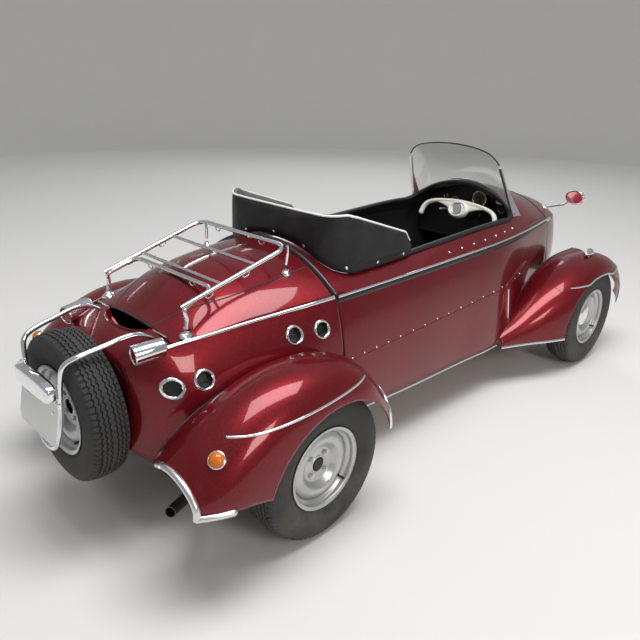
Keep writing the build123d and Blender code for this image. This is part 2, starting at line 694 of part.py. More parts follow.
# Luggage rack over the engine lid
RACK_TUBE = 8.0
RACK_BAR = 6.0
# One row for each level of the rack's side rail: x, half-width, height
RACK_SIDE = [(-721, 237, 866), (-1122, 222, 757)]
RACK_BARS = [(-850, 236, 834), (-986, 227, 794), (-1112, 222, 760)]
RACK_FEET = [(-714, 217), (-1114, 228)]
with BuildPart() as luggage_rack:
    front, rear = RACK_SIDE
    add(tube([(rear[0], rear[1], rear[2]), (front[0], front[1], front[2]),
              (front[0], -front[1], front[2]), (rear[0], -rear[1], rear[2])], RACK_TUBE, 40))
    for x, half, z in RACK_BARS:
        add(bar((x, -half + 4, z), (x, half - 4, z), RACK_BAR))
    for x, half in RACK_FEET:
        for side in (1, -1):
            top = front[2] + (x - front[0]) * (rear[2] - front[2]) / (rear[0] - front[0]) - 4
            add(bar((x, side * half, top), (x, side * half, 600), RACK_BAR))
    add(skin_fit, mode=Mode.SUBTRACT)
save(luggage_rack, "luggage_rack")


# Windscreen: one curved pane between a low arc on the cowl and a high arc
SCREEN_THICKNESS = 5.0
SCREEN_BASE = ((656, 286, 765), (707, 872))
SCREEN_TOP = ((529, 239, 1042), (537, 1078))


def screen_band(corner, centre):
    """Thin bowed band across the car, through one corner, the centre and the other corner."""
    x, half, z = corner
    cx, cz = centre
    down = Vector(x - cx, 0, z - cz)
    across = Vector(0, 1, 0)
    with BuildSketch(Plane(origin=(cx, 0, cz), x_dir=across, z_dir=across.cross(-down))) as band:
        with BuildLine():
            for t in (0, SCREEN_THICKNESS):
                ThreePointArc((-half, -down.length - t), (0, -t), (half, -down.length - t))
            for s in (1, -1):
                Line((s * half, -down.length), (s * half, -down.length - SCREEN_THICKNESS))
        make_face()
    return band.sketch.face()


with BuildPart() as windscreen_glass:
    loft(sections=[screen_band(*SCREEN_BASE), screen_band(*SCREEN_TOP)])
    add(skin_fit, mode=Mode.SUBTRACT)
save(windscreen_glass, "windscreen_glass")

BRACKET_Y = 292.0
with BuildPart() as screen_brackets:
    for side in (1, -1):
        with BuildSketch(Plane.XZ.offset(-side * BRACKET_Y)):
            with BuildLine():
                Polyline((546, 700), (676, 700), (612, 915), (596, 915), close=True)
            make_face()
        extrude(amount=-side * 4)
    add(skin_fit, mode=Mode.SUBTRACT)
save(screen_brackets, "screen_brackets")

# Folded hood boot: a soft collar standing round the back of the cockpit
COLLAR_HALF = 326.0
COLLAR_THICK = 36.0
COLLAR_REAR_X = SEAM_REAR_X + 26
COLLAR_FRONT_X = REAR_AXLE_X + 735
COLLAR_PROFILE = [(-40, 640), (-40, 948), (74, 965), (385, 856), (455, 690), (455, 640)]
with BuildPart() as hood_collar:
    with BuildSketch(Plane.XY.offset(640)):
        with Locations(((COLLAR_REAR_X + COLLAR_FRONT_X + 200) / 2, 0)):
            RectangleRounded(COLLAR_FRONT_X + 200 - COLLAR_REAR_X, 2 * COLLAR_HALF, 120)
            RectangleRounded(COLLAR_FRONT_X + 200 - COLLAR_REAR_X - 2 * COLLAR_THICK,
                             2 * COLLAR_HALF - 2 * COLLAR_THICK, 120 - COLLAR_THICK, mode=Mode.SUBTRACT)
    extrude(amount=400)
    with BuildSketch(Plane.XZ):
        with BuildLine():
            Polyline(*[(COLLAR_REAR_X + dx, z) for dx, z in COLLAR_PROFILE], close=True)
        make_face()
    extrude(amount=600, both=True, mode=Mode.INTERSECT)
    add(skin_fit, mode=Mode.SUBTRACT)
save(hood_collar, "hood_collar")

# Seats
FLOOR_TOP = FLOOR_Z + BODY_WALL
SEAT_BASE_Z = FLOOR_TOP + 90
CUSHION = 105.0
# One row for each seat: name, cushion rear x, cushion length, half-width, back height
SEATS = [("seat_front", 20, 400, 195, 300), ("seat_rear", -440, 330, 240, 320)]
with BuildPart() as seat_frames:
    for name, x, length, half, height in SEATS:
        for side in (1, -1):
            with BuildSketch(Plane.XY.offset(SEAT_BASE_Z - FIT)):
                with Locations((x + length / 2, side * (half - 50))):
                    Rectangle(length - 60, 34)
            extrude(amount=FLOOR_Z - SEAT_BASE_Z)
    add(body_solid(-BODY_WALL - FIT, SEAM_REAR_X, SEAM_FRONT_X), mode=Mode.INTERSECT)
save(seat_frames, "seat_frames")
for name, x, length, half, height in SEATS:
    with BuildPart() as seat:
        with BuildSketch(Plane.XY.offset(SEAT_BASE_Z)):
            with Locations((x + length / 2, 0)):
                RectangleRounded(length, 2 * half, 50)
        extrude(amount=CUSHION)
        fillet(seat.faces().sort_by(Axis.Z)[-1].edges(), 28)
        base = SEAT_BASE_Z + 60
        back = Plane(origin=(x - FIT, 0, base), x_dir=(0, 1, 0), z_dir=(1, 0, 0.16))
        with BuildSketch(back):
            with Locations((0, height / 2)):
                RectangleRounded(2 * half - 10, height, 60)
        extrude(amount=-72)
    save(seat, name)

# Dashboard across the cockpit under the cowl
DASH_X = COCKPIT_FRONT_X + 87
with BuildPart() as dash_panel:
    add(body_solid(-BODY_WALL - FIT, DASH_X, DASH_X + 12) & belt_region(-2, above=False))
    add(body_solid(-CANOPY_WALL - 6, DASH_X, DASH_X + 12))
    with BuildSketch(Plane.XY.offset(FLOOR_Z - 50)):
        Rectangle(4000, 1500)
    extrude(amount=420, mode=Mode.SUBTRACT)
    for y, z, radius, length in ((-73, 805, 40, 62), (95, 760, 26, 12), (-150, 745, 22, 12)):
        add(bar((DASH_X + 1, y, z), (DASH_X - length, y, z), radius))

# Steering: column through the dashboard, yoke on its upper end
COLUMN_TILT = 25.0
YOKE_HUB = (645, 0, 750)
column_axis = Vector(math.cos(math.radians(COLUMN_TILT)), 0, -math.sin(math.radians(COLUMN_TILT)))
hub = Vector(*YOKE_HUB)
COLUMN_RADIUS = 17.0
COLUMN_LENGTH = 330.0
with BuildPart() as steering_column:
    add(bar(hub + column_axis * 18.3, hub + column_axis * COLUMN_LENGTH, COLUMN_RADIUS))
save(steering_column, "steering_column")
with BuildPart() as column_hole:
    add(bar(hub, hub + column_axis * COLUMN_LENGTH, COLUMN_RADIUS + FIT))
with BuildPart() as dash_cut:
    add(dash_panel.part)
    add(column_hole.part, mode=Mode.SUBTRACT)
save(dash_cut, "dash_panel")
YOKE_TUBE = 10.0
with BuildPart() as steering_yoke:
    face = Plane(origin=hub, x_dir=(0, 1, 0), z_dir=column_axis)
    arch = [(-212, -62), (-198, -6), (-116, 28), (116, 28), (198, -6), (212, -62)]
    points = [face.from_local_coords(Vector(y, z, 0)) for y, z in arch]
    add(tube(points, YOKE_TUBE, 32))
    add(bar(hub - column_axis * 22, hub + column_axis * 18, 40))
    for s in (1, -1):
        inner_end = face.from_local_coords(Vector(s * 30, 0, 0))
        add(bar(inner_end, face.from_local_coords(Vector(s * 186, 2, 0)), 8))
save(steering_yoke, "steering_yoke")

# Mirror on a curved arm from the nose
with BuildPart() as mirror:
    add(tube([(FRONT_AXLE_X + 165, -150, 690), (FRONT_AXLE_X + 165, -262, 735), (FRONT_AXLE_X + 165, -300, 782)],
             5, 12))
    with BuildSketch(Plane(origin=(FRONT_AXLE_X + 176, -338, 790), x_dir=(0, 1, 0), z_dir=(-1, 0, 0))):
        Ellipse(52, 36)
    extrude(amount=22)
    add(skin_fit, mode=Mode.SUBTRACT)
save(mirror, "mirror")
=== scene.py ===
# %% [markdown]
# # Dressing a small open two-seater
# The solid model gives this car its sizes, its joints and its plain solids. In this lesson we load
# that model as a fixed frame and lay the visible car over it: smooth painted sheet, bright trim,
# ribbed tyres and black vinyl. Nearly every new piece is a surface that numpy works out from a
# short table, so a shape can be changed by changing one number in its table.

# %% Load the fixed frame
import math
import bmesh
import bpy
import numpy as np
from mathutils import Matrix, Vector
from mathutils.bvhtree import BVHTree


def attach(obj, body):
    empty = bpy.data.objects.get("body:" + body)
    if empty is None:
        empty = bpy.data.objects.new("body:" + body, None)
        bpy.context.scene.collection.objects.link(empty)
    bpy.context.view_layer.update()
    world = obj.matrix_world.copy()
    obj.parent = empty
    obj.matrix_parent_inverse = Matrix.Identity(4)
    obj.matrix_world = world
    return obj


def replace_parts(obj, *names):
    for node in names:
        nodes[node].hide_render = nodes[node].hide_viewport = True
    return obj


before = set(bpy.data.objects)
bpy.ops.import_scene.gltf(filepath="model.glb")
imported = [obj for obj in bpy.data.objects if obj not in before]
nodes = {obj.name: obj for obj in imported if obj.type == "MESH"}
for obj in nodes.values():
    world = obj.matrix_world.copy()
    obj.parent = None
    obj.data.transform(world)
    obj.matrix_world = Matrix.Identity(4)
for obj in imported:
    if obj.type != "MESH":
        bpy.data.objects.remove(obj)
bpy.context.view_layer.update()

# %% [markdown]
# ## Grids that become meshes
# A sheet-metal panel is a surface with two directions, so it is stored as a grid of points: an
# array with rows, columns and x, y, z. We could add vertices one at a time, but whole arrays are
# far quicker and the panel's formula stays readable. A piece may hold several grids. Points that
# coincide are merged, which closes seams and poles.

# %% From grids to a mesh
def quads(rows, cols, keep=None):
    """Corners of each cell of a grid: its point, the next row's, the diagonal, the one beside it."""
    index = np.arange(rows * cols).reshape(rows, cols)
    cells = np.stack([index[:-1, :-1], index[1:, :-1], index[1:, 1:], index[:-1, 1:]], axis=-1)
    if keep is not None:
        return cells[keep]
    return cells.reshape(-1, 4)


def flipped(grid):
    """The same grid with its faces turned to the other side."""
    return grid[:, ::-1]


def mirrored(grid):
    """The grid on the other side of the car, its faces still pointing outwards."""
    return flipped(grid * np.array([1.0, -1.0, 1.0]))


def both_sides(grids):
    """Each grid and its mirror image."""
    return list(grids) + [mirrored(g) for g in grids]


MM = 0.001
# Sign of y and label of each side of the car
SIDES = ((-1, "right"), (1, "left"))


def piece(name, grids, material, body, keeps=None, sharp=40, weld=2e-5):
    """One mesh from several grids in metres. Creases sharper than the angle stay crisp."""
    points, faces, start = [], [], 0
    for i, grid in enumerate(grids):
        rows, cols = grid.shape[:2]
        faces.append(quads(rows, cols, keeps[i] if keeps else None) + start)
        points.append(grid.reshape(-1, 3))
        start += rows * cols
    points, faces = np.concatenate(points), np.concatenate(faces)
    mesh = bpy.data.meshes.new(name)
    mesh.vertices.add(len(points))
    mesh.vertices.foreach_set("co", points.astype(np.float32).ravel())
    mesh.loops.add(faces.size)
    mesh.loops.foreach_set("vertex_index", faces.astype(np.int32).ravel())
    mesh.polygons.add(len(faces))
    mesh.polygons.foreach_set("loop_start", np.arange(0, faces.size, 4, dtype=np.int32))
    mesh.update(calc_edges=True)
    mesh.validate()
    welded = bmesh.new()
    welded.from_mesh(mesh)
    bmesh.ops.remove_doubles(welded, verts=welded.verts, dist=weld)
    welded.to_mesh(mesh)
    welded.free()
    mesh.polygons.foreach_set("use_smooth", np.ones(len(mesh.polygons), bool))
    mesh.set_sharp_from_angle(angle=math.radians(sharp))
    mesh.materials.append(finishes[material])
    thing = bpy.data.objects.new(name, mesh)
    bpy.context.scene.collection.objects.link(thing)
    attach(thing, body)
    return thing


def thicken(thing, wall, offset=-1.0):
    """Gives a sheet its wall, on the inner side unless offset says otherwise."""
    wall_maker = thing.modifiers.new("wall", "SOLIDIFY")
    wall_maker.thickness = wall
    wall_maker.offset = offset
    wall_maker.use_even_offset = False
    return thing


# %% [markdown]
# ## Curves through tables
# The body was designed by sections: a row of numbers every few hundred millimetres, with a batten
# bent through them. A natural cubic spline is that batten. The rows are spaced by how far one is
# from the next, so closely spaced rows at the nose and tail don't make it wriggle.

# %% Splines and arcs
def unit(v):
    """The vector, or each row of vectors, at length one."""
    v = np.asarray(v, float)
    return v / np.linalg.norm(v, axis=-1, keepdims=True)


def heading(path):
    """The direction of a path at each of its points."""
    return unit(np.gradient(path, axis=0))


def cubic(knots, values, at):
    """Natural cubic through values at knots: neighbouring spans share their bend at the knot."""
    knots, values, at = (np.asarray(v, float) for v in (knots, values, at))
    n, h = len(knots), np.diff(knots)
    system, right = np.eye(n), np.zeros_like(values)
    k = np.arange(1, n - 1)
    system[k, k - 1], system[k, k], system[k, k + 1] = h[:-1], 2 * (h[:-1] + h[1:]), h[1:]
    slope = np.diff(values, axis=0) / h[:, None]
    right[1:-1] = 6 * np.diff(slope, axis=0)
    bend = np.linalg.solve(system, right)
    i = np.clip(np.searchsorted(knots, at, side="right") - 1, 0, n - 2)
    a = ((knots[i + 1] - at) / h[i])[:, None]
    b = 1 - a
    curve = a * values[i] + b * values[i + 1]
    return curve + ((a**3 - a) * bend[i] + (b**3 - b) * bend[i + 1]) * h[i][:, None] ** 2 / 6


def knots_of(table):
    """Running distance along a table's rows."""
    return np.concatenate([[0], np.cumsum(np.linalg.norm(np.diff(table, axis=0), axis=1))])


def rows_at(table, x):
    """The table's columns at the given x, read off the batten. The first column is x."""
    table = np.asarray(table, float)
    knots = knots_of(table)
    fine = np.linspace(0, knots[-1], 1500)
    found = cubic(knots, table, fine)
    return cubic(knots, table, np.interp(x, found[:, 0], fine))


def through(points, count):
    """A smooth line through a few points, with count points evenly spaced along it."""
    points = np.asarray(points, float)
    knots = knots_of(points)
    fine = cubic(knots, points, np.linspace(0, knots[-1], 600))
    length = knots_of(fine)
    at = np.linspace(0, length[-1], count)
    return np.stack([np.interp(at, length, fine[:, i]) for i in range(points.shape[1])], axis=-1)


def circle(a, b, c):
    """Middle and radius of the circle through three (y, z) points. Coordinates may be arrays."""
    (ax, ay), (bx, by), (cx, cy) = a, b, c
    nearly_straight = 1e-6
    twice = 2 * (ax * (by - cy) + bx * (cy - ay) + cx * (ay - by))
    twice = np.where(np.abs(twice) < nearly_straight, nearly_straight, twice)
    a2, b2, c2 = ax**2 + ay**2, bx**2 + by**2, cx**2 + cy**2
    ux = (a2 * (by - cy) + b2 * (cy - ay) + c2 * (ay - by)) / twice
    uy = (a2 * (cx - bx) + b2 * (ax - cx) + c2 * (bx - ax)) / twice
    return ux, uy, np.hypot(ax - ux, ay - uy)


def arc(a, b, c, t):
    """Arcs from a over b to c, each an (n, 2) array, as y and z at shares t of the way."""
    ux, uy, radius = circle(a.T, b.T, c.T)
    start = np.arctan2(a[:, 1] - uy, a[:, 0] - ux)
    turn = np.angle(np.exp(1j * (np.arctan2(c[:, 1] - uy, c[:, 0] - ux) - start)))
    angle = start[:, None] + turn[:, None] * t[None, :]
    return tuple(u[:, None] + radius[:, None] * wave(angle) for u, wave in ((ux, np.cos), (uy, np.sin)))


# %% [markdown]
# ## Profiles carried along paths
# Bright strips, beads, tubes and piping are one small profile carried along a line. At each point
# the profile stands square to the line, and its upright is kept as near to one fixed direction as
# it can be, so a flat strip doesn't twist. Turned parts such as tyres and lamps are a profile
# carried round an axle instead.

# %% Sweeps and turned shapes
def closed_ends(grid, tips=None):
    """The grid with its first and last rows drawn together to two points, by default the rows' middles."""
    tips = (grid[0].mean(0), grid[-1].mean(0)) if tips is None else tips
    first, last = (np.repeat(tip[None, None], grid.shape[1], axis=1) for tip in tips)
    return np.concatenate([first, grid, last])


def carry(path, profile, up=(0, 0, 1), scale=None, closed=False):
    """Grid of a closed profile of (across, upright) points carried along a path in metres."""
    path, profile = np.asarray(path, float), np.asarray(profile, float)
    ahead = unit(np.roll(path, -1, axis=0) - np.roll(path, 1, axis=0)) if closed else heading(path)
    across = unit(np.cross(ahead, np.broadcast_to(np.asarray(up, float), path.shape)))
    upright = np.cross(across, ahead)
    size = np.ones(len(path)) if scale is None else np.asarray(scale, float)
    ring = np.concatenate([profile, profile[:1]])
    spread_out = across[:, None] * ring[None, :, :1] + upright[:, None] * ring[None, :, 1:]
    grid = path[:, None] + size[:, None, None] * spread_out
    return np.concatenate([grid, grid[:1]]) if closed else closed_ends(grid, (path[0], path[-1]))


def round_profile(radius, count=12, flat=1.0):
    """Circle, or an ellipse when flat isn't 1, as (across, upright) points."""
    angle = np.linspace(0, 2 * np.pi, count, endpoint=False)
    return np.stack([radius * np.cos(angle), radius * flat * np.sin(angle)], axis=-1)


def spun(profile, centre, axle, turns=96):
    """Grid of (along, radius) points carried round an axle through a centre."""
    profile, axle = np.asarray(profile, float), unit(axle)
    side = unit(np.cross(axle, (0, 0, 1.0) if abs(axle[2]) < 0.9 else (1.0, 0, 0)))
    other = np.cross(axle, side)
    angle = np.linspace(0, 2 * np.pi, turns + 1)
    ray = np.cos(angle)[:, None] * side + np.sin(angle)[:, None] * other
    along, radius = profile[None, :, :1], profile[None, :, 1:]
    return np.asarray(centre, float) + along * axle + radius * ray[:, None, :]


def turned(profile, centre, axle, turns):
    """The same for a profile in millimetres, the way every lamp, knob and bolt is listed here."""
    return spun(np.asarray(profile, float) * MM, centre, axle, turns)


def blocky(wave, power):
    """A sine or cosine raised to a power below one, keeping its sign, which squares up a round shape."""
    return np.sign(wave) * np.abs(wave) ** power


def faded_ends(count, length, least):
    """Sizes from 0 to 1 for count points, growing over a number of points from each end."""
    index = np.arange(count)
    return np.clip(np.minimum(index, index[::-1]) / length, least, 1)


# %% [markdown]
# ## Finishes
# The photographed car is deep wine red with a metal flake, and nearly all its trim is bright. Each
# finish is one shader fed by small groups that are built once: road dust that thickens towards the
# ground, uneven polish, flake tone with painted glints, and the pebbled grain of vinyl. The groups
# read the position on the car, so nothing slides when the camera moves.

# %% Shared effects
def effect(name, inputs, outputs):
    """A node group with named inputs and outputs, ready for its nodes."""
    group = bpy.data.node_groups.new(name, "ShaderNodeTree")
    for label, kind, value in inputs:
        socket = group.interface.new_socket(name=label, in_out="INPUT", socket_type=kind)
        socket.default_value = value
    for label, kind in outputs:
        group.interface.new_socket(name=label, in_out="OUTPUT", socket_type=kind)
    return group, group.nodes.new("NodeGroupInput").outputs, group.nodes.new("NodeGroupOutput")


def node(tree, kind, links=(), **settings):
    """Adds a node, sets properties or inputs by name, and feeds inputs from sockets or plain values."""
    made = tree.nodes.new("ShaderNode" + kind)
    for key, value in settings.items():
        if hasattr(made, key):
            setattr(made, key, value)
        else:
            made.inputs[key.replace("_", " ")].default_value = value
    for label, source in links:
        if isinstance(source, bpy.types.NodeSocket):
            tree.links.new(source, made.inputs[label])
        else:
            made.inputs[label].default_value = source
    return made


def position(tree):
    """The socket that gives the position on the car."""
    return node(tree, "TexCoord").outputs["Object"]


def noise(tree, place, links=(), **settings):
    """Noise over the position on the car."""
    return node(tree, "TexNoise", [("Vector", place), *links], **settings)


def colour_mix(tree, share, first, second):
    """Blends two colours by a share, each a socket or a plain value, and gives the blend's socket."""
    return node(tree, "Mix", [(0, share), (6, first), (7, second)], data_type="RGBA").outputs[2]


def relief(tree, shader, height, strength, distance):
    """Lets a height bend the light on a shader, at most as deep as a distance in metres."""
    bump = node(tree, "Bump", [("Height", height)], Strength=strength, Distance=distance)
    tree.links.new(bump.outputs[0], shader.inputs["Normal"])


def put_out(tree, out, **sockets):
    """Links a group's results to its named outputs."""
    for label, socket in sockets.items():
        tree.links.new(socket, out.inputs[label])


FLOAT, COLOUR = "NodeSocketFloat", "NodeSocketColor"

polish, given, out = effect("uneven_polish",
                            [("Roughness", FLOAT, 0.2), ("Spread", FLOAT, 0.08), ("Scale", FLOAT, 6.0)],
                            [("Roughness", FLOAT), ("Height", FLOAT)])
place = position(polish)
cloud = noise(polish, place, [("Scale", given["Scale"])], Detail=6.0)
fine = noise(polish, place, Scale=420.0, Detail=2.0)
centred = node(polish, "Math", [(0, cloud.outputs["Fac"]), (1, 0.5)], operation="SUBTRACT")
spread = node(polish, "Math", [(0, centred.outputs[0]), (1, given["Spread"]), (2, given["Roughness"])],
              operation="MULTIPLY_ADD")
put_out(polish, out, Roughness=spread.outputs[0], Height=fine.outputs["Fac"])

dust, given, out = effect("road_dust",
                          [("Color", COLOUR, (0.5, 0.5, 0.5, 1)), ("Dust", COLOUR, (0.30, 0.26, 0.21, 1)),
                           ("Top", FLOAT, 0.35), ("Amount", FLOAT, 0.35)],
                          [("Color", COLOUR), ("Mask", FLOAT)])
place = position(dust)
split = node(dust, "SeparateXYZ", [(0, place)])
fade = node(dust, "MapRange", [("Value", split.outputs["Z"]), ("From Max", given["Top"])],
            To_Min=1.0, To_Max=0.0)
speck = noise(dust, place, Scale=9.0, Detail=8.0, Roughness=0.65)
blot = node(dust, "MapRange", [("Value", speck.outputs["Fac"])], From_Min=0.35, From_Max=0.75)
both = node(dust, "Math", [(0, fade.outputs[0]), (1, blot.outputs[0])], operation="MULTIPLY")
mask = node(dust, "Math", [(0, both.outputs[0]), (1, given["Amount"])], operation="MULTIPLY", use_clamp=True)
dusted = colour_mix(dust, mask.outputs[0], given["Color"], given["Dust"])
put_out(dust, out, Color=dusted, Mask=mask.outputs[0])

flake, given, out = effect("flake_tone_and_painted_glint",
                           [("Color", COLOUR, (0.3, 0.02, 0.03, 1)), ("Glint", COLOUR, (0.8, 0.3, 0.3, 1)),
                            ("Scale", FLOAT, 900.0)],
                           [("Color", COLOUR), ("Height", FLOAT)])
place = position(flake)
# Painted highlight: a few cells take the Glint colour, lighter spots standing for light caught by the flake.
# The drift below is only a random tone.
chips = node(flake, "TexVoronoi", [("Vector", place), ("Scale", given["Scale"])])
bright = node(flake, "SeparateColor", [(0, chips.outputs["Color"])])
few = node(flake, "MapRange", [("Value", bright.outputs[0])], From_Min=0.80, From_Max=1.0, To_Max=0.35)
drift = noise(flake, place, Scale=2.2, Detail=3.0)
tone = node(flake, "MapRange", [("Value", drift.outputs["Fac"])],
            From_Min=0.3, From_Max=0.7, To_Min=0.86, To_Max=1.1)
toned = node(flake, "VectorMath", [(0, given["Color"]), (1, tone.outputs[0])], operation="MULTIPLY")
flake_tone_and_painted_glints = colour_mix(flake, few.outputs[0], toned.outputs[0], given["Glint"])
put_out(flake, out, Color=flake_tone_and_painted_glints, Height=bright.outputs[1])

pebble, given, out = effect("vinyl_grain", [("Scale", FLOAT, 260.0)], [("Height", FLOAT), ("Tone", FLOAT)])
place = position(pebble)
warp = noise(pebble, place, Scale=60.0, Detail=2.0)
# A vector mix takes its share at input 0 and its vectors at inputs 4 and 5
shift = node(pebble, "Mix", [(0, 0.012), (4, place), (5, warp.outputs["Color"])], data_type="VECTOR")
cells = node(pebble, "TexVoronoi", [("Vector", shift.outputs[1]), ("Scale", given["Scale"])],
             feature="SMOOTH_F1")
crease = noise(pebble, place, Scale=14.0, Detail=6.0)
put_out(pebble, out, Height=cells.outputs["Distance"], Tone=crease.outputs["Fac"])
print("shared effects:", [g.name for g in bpy.data.node_groups])

# %% The shader of each finish
finishes = {}


def finish(name, colour, metal=0.0, rough=0.4, spread=0.08, scale=6.0, bump=0.0, dusty=0.0, top=0.35,
           **settings):
    """One finish: a Principled shader whose colour passes through dust and whose polish is uneven."""
    material = bpy.data.materials.new(name)
    material.use_nodes = True
    tree = material.node_tree
    shader = tree.nodes["Principled BSDF"]
    for key, value in {"Metallic": metal, **settings}.items():
        shader.inputs[key.replace("_", " ")].default_value = value
    uneven = node(tree, "Group", node_tree=polish, Roughness=rough, Spread=spread, Scale=scale)
    tree.links.new(uneven.outputs["Roughness"], shader.inputs["Roughness"])
    coat = node(tree, "Group", node_tree=dust, Color=(*colour, 1), Top=top, Amount=dusty)
    tree.links.new(coat.outputs["Color"], shader.inputs["Base Color"])
    if bump:
        relief(tree, shader, uneven.outputs["Height"], bump, 0.0004)
    finishes[name] = material
    return tree, shader, coat


# Deep wine red with a fine flake under a clear coat, its glints painted into the colour as highlights
tree, shader, coat = finish("body_paint", (0.2, 0.01, 0.02), metal=0.55, rough=0.34, spread=0.06,
                            dusty=0.16, top=0.33, Specular_IOR_Level=0.1, Coat_Weight=0.8,
                            Coat_Roughness=0.035, Coat_IOR=1.4)
# The Glint colour here is a painted highlight, the sparkle of the flake put into the base colour.
painted_glint_flakes = node(tree, "Group", node_tree=flake, Color=(0.155, 0.005, 0.009, 1), Glint=(0.42, 0.06, 0.10, 1))
tree.links.new(painted_glint_flakes.outputs["Color"], coat.inputs["Color"])

finish("chrome", (0.84, 0.85, 0.87), metal=1.0, rough=0.07, spread=0.10, scale=14.0, dusty=0.10, top=0.4)
finish("aluminium", (0.72, 0.72, 0.73), metal=1.0, rough=0.30, spread=0.15, scale=22.0, bump=0.12)
finish("wheel_silver", (0.56, 0.57, 0.58), metal=0.75, rough=0.36, spread=0.2, scale=16.0, bump=0.1,
       dusty=0.55, top=0.52)
finish("tyre", (0.028, 0.028, 0.029), rough=0.78, spread=0.25, scale=18.0, bump=0.5, dusty=0.36, top=0.5)
finish("rubber_seal", (0.018, 0.018, 0.019), rough=0.32, spread=0.2, scale=20.0, bump=0.2)
finish("black_trim", (0.02, 0.02, 0.021), rough=0.55, spread=0.2, scale=12.0, bump=0.35)
finish("dark_metal", (0.045, 0.045, 0.047), metal=0.6, rough=0.6, spread=0.3, scale=15.0, bump=0.5,
       dusty=0.5, top=0.4)
finish("exhaust_metal", (0.10, 0.09, 0.085), metal=0.85, rough=0.5, spread=0.3, scale=24.0, bump=0.4,
       dusty=0.4, top=0.3)
finish("ivory", (0.80, 0.77, 0.68), rough=0.22, spread=0.12, scale=10.0, Coat_Weight=0.6)
finish("plate_white", (0.80, 0.80, 0.78), rough=0.35, spread=0.15, scale=20.0, bump=0.1)
finish("red_lens", (0.42, 0.008, 0.010), rough=0.12, spread=0.05, Transmission_Weight=0.35, IOR=1.49)
finish("amber_lens", (0.86, 0.22, 0.015), rough=0.12, spread=0.05, Transmission_Weight=0.35, IOR=1.49)
finish("lamp_glass", (0.90, 0.93, 0.95), rough=0.04, spread=0.03, Transmission_Weight=0.85, IOR=1.45)
finish("white_piping", (0.78, 0.77, 0.73), rough=0.42, spread=0.15, scale=30.0, bump=0.2)
finish("grey_lining", (0.11, 0.11, 0.115), rough=0.7, spread=0.2, scale=14.0, bump=0.3)
print("finishes so far:", sorted(finishes))

# %% [markdown]
# Vinyl needs more than uneven polish. Its pebbled grain is a relief about a quarter of a millimetre
# high, and the black goes greyer where the cloth has been folded and rubbed.

# %% Vinyl and glass
def vinyl(name, colour, rough, scale, bump):
    """Grained vinyl: the polish group sets the sheen, the grain group the relief and the worn tone."""
    tree, shader, coat = finish(name, colour, rough=rough, spread=0.18, scale=9.0, Specular_IOR_Level=0.3)
    grain = node(tree, "Group", node_tree=pebble, Scale=scale)
    relief(tree, shader, grain.outputs["Height"], bump, 0.0006)
    worn = node(tree, "MapRange", [("Value", grain.outputs["Tone"])],
                From_Min=0.45, From_Max=0.75, To_Max=0.5)
    greyer = [c * 1.9 + 0.012 for c in colour]
    tree.links.new(colour_mix(tree, worn.outputs[0], (*colour, 1), (*greyer, 1)), coat.inputs["Color"])


vinyl("black_vinyl", (0.013, 0.013, 0.015), rough=0.5, scale=240.0, bump=0.35)
vinyl("seat_vinyl", (0.026, 0.025, 0.025), rough=0.42, scale=200.0, bump=0.45)

# Glass looks clearer where one sees straight through it than near its edge
tree, shader, _ = finish("glass", (0.93, 0.96, 0.95), rough=0.02, spread=0.02, scale=8.0,
                         Transmission_Weight=1.0, IOR=1.45)
edge_on = node(tree, "LayerWeight", Blend=0.35)
clear = node(tree, "MapRange", [("Value", edge_on.outputs["Facing"])], To_Min=0.16, To_Max=0.55)
tree.links.new(clear.outputs[0], shader.inputs["Alpha"])

# %% [markdown]
# Every node of the solid model already names its material slot, and our finishes carry the same
# names, so each node takes the finish of its slot. Nodes that stay in view, such as the brake drums
# and the wishbones, are dressed by this alone.

# %% Dress the solid nodes
for thing in nodes.values():
    slot_name = thing.data.materials[0].name.split(".")[0]
    thing.data.materials[0] = finishes[slot_name]
print("dressed", len(nodes), "nodes with", len(finishes), "finishes")

# %% [markdown]
# ## Floor, light and camera
# A studio sweep is a floor that bends up into a wall, so no horizon shows behind the car. It is a
# profile spun round the middle. One broad lamp overhead, a warmer one from the right and a pale
# world give the soft highlights that show a panel's form. The camera stands where the
# photographer stood: a little above the tail, looking forward along the right side.

# %% Stage
def plain_stage(name, profile, colour):
    """The studio floor: a disc, a quarter bend and a wall, spun about the car's middle."""
    material = bpy.data.materials.new(name)
    material.use_nodes = True
    tree = material.node_tree
    shader = tree.nodes["Principled BSDF"]
    mottle = noise(tree, position(tree), Scale=3.0, Detail=10.0)
    darker = [c * 0.97 for c in colour]
    mottled = colour_mix(tree, mottle.outputs["Fac"], (*darker, 1), (*colour, 1))
    tree.links.new(mottled, shader.inputs["Base Color"])
    shader.inputs["Roughness"].default_value = 0.85
    shader.inputs["Specular IOR Level"].default_value = 0.2
    grid = flipped(spun(profile, (0, 0, 0), (0, 0, 1), turns=128))
    mesh = bpy.data.meshes.new(name)
    mesh.from_pydata(grid.reshape(-1, 3).tolist(), [], quads(*grid.shape[:2]).tolist())
    mesh.polygons.foreach_set("use_smooth", np.ones(len(mesh.polygons), bool))
    mesh.materials.append(material)
    floor = bpy.data.objects.new(name, mesh)
    bpy.context.scene.collection.objects.link(floor)
    return floor


# Metres: where the flat floor ends, the radius of its bend, the wall's top, and the floor's height
FLOOR_EDGE, FLOOR_BEND, WALL_TOP, FLOOR_HEIGHT = 8.0, 2.5, 9.0, -0.0005
bend = np.linspace(0, np.pi / 2, 14)
sweep_profile = [(FLOOR_HEIGHT, 0.0), (FLOOR_HEIGHT, FLOOR_EDGE)]
sweep_profile += [(FLOOR_BEND * (1 - math.cos(a)), FLOOR_EDGE + FLOOR_BEND * math.sin(a)) for a in bend]
sweep_profile += [(WALL_TOP, FLOOR_EDGE + FLOOR_BEND)]
plain_stage("studio_floor", sweep_profile, (0.74, 0.73, 0.71))

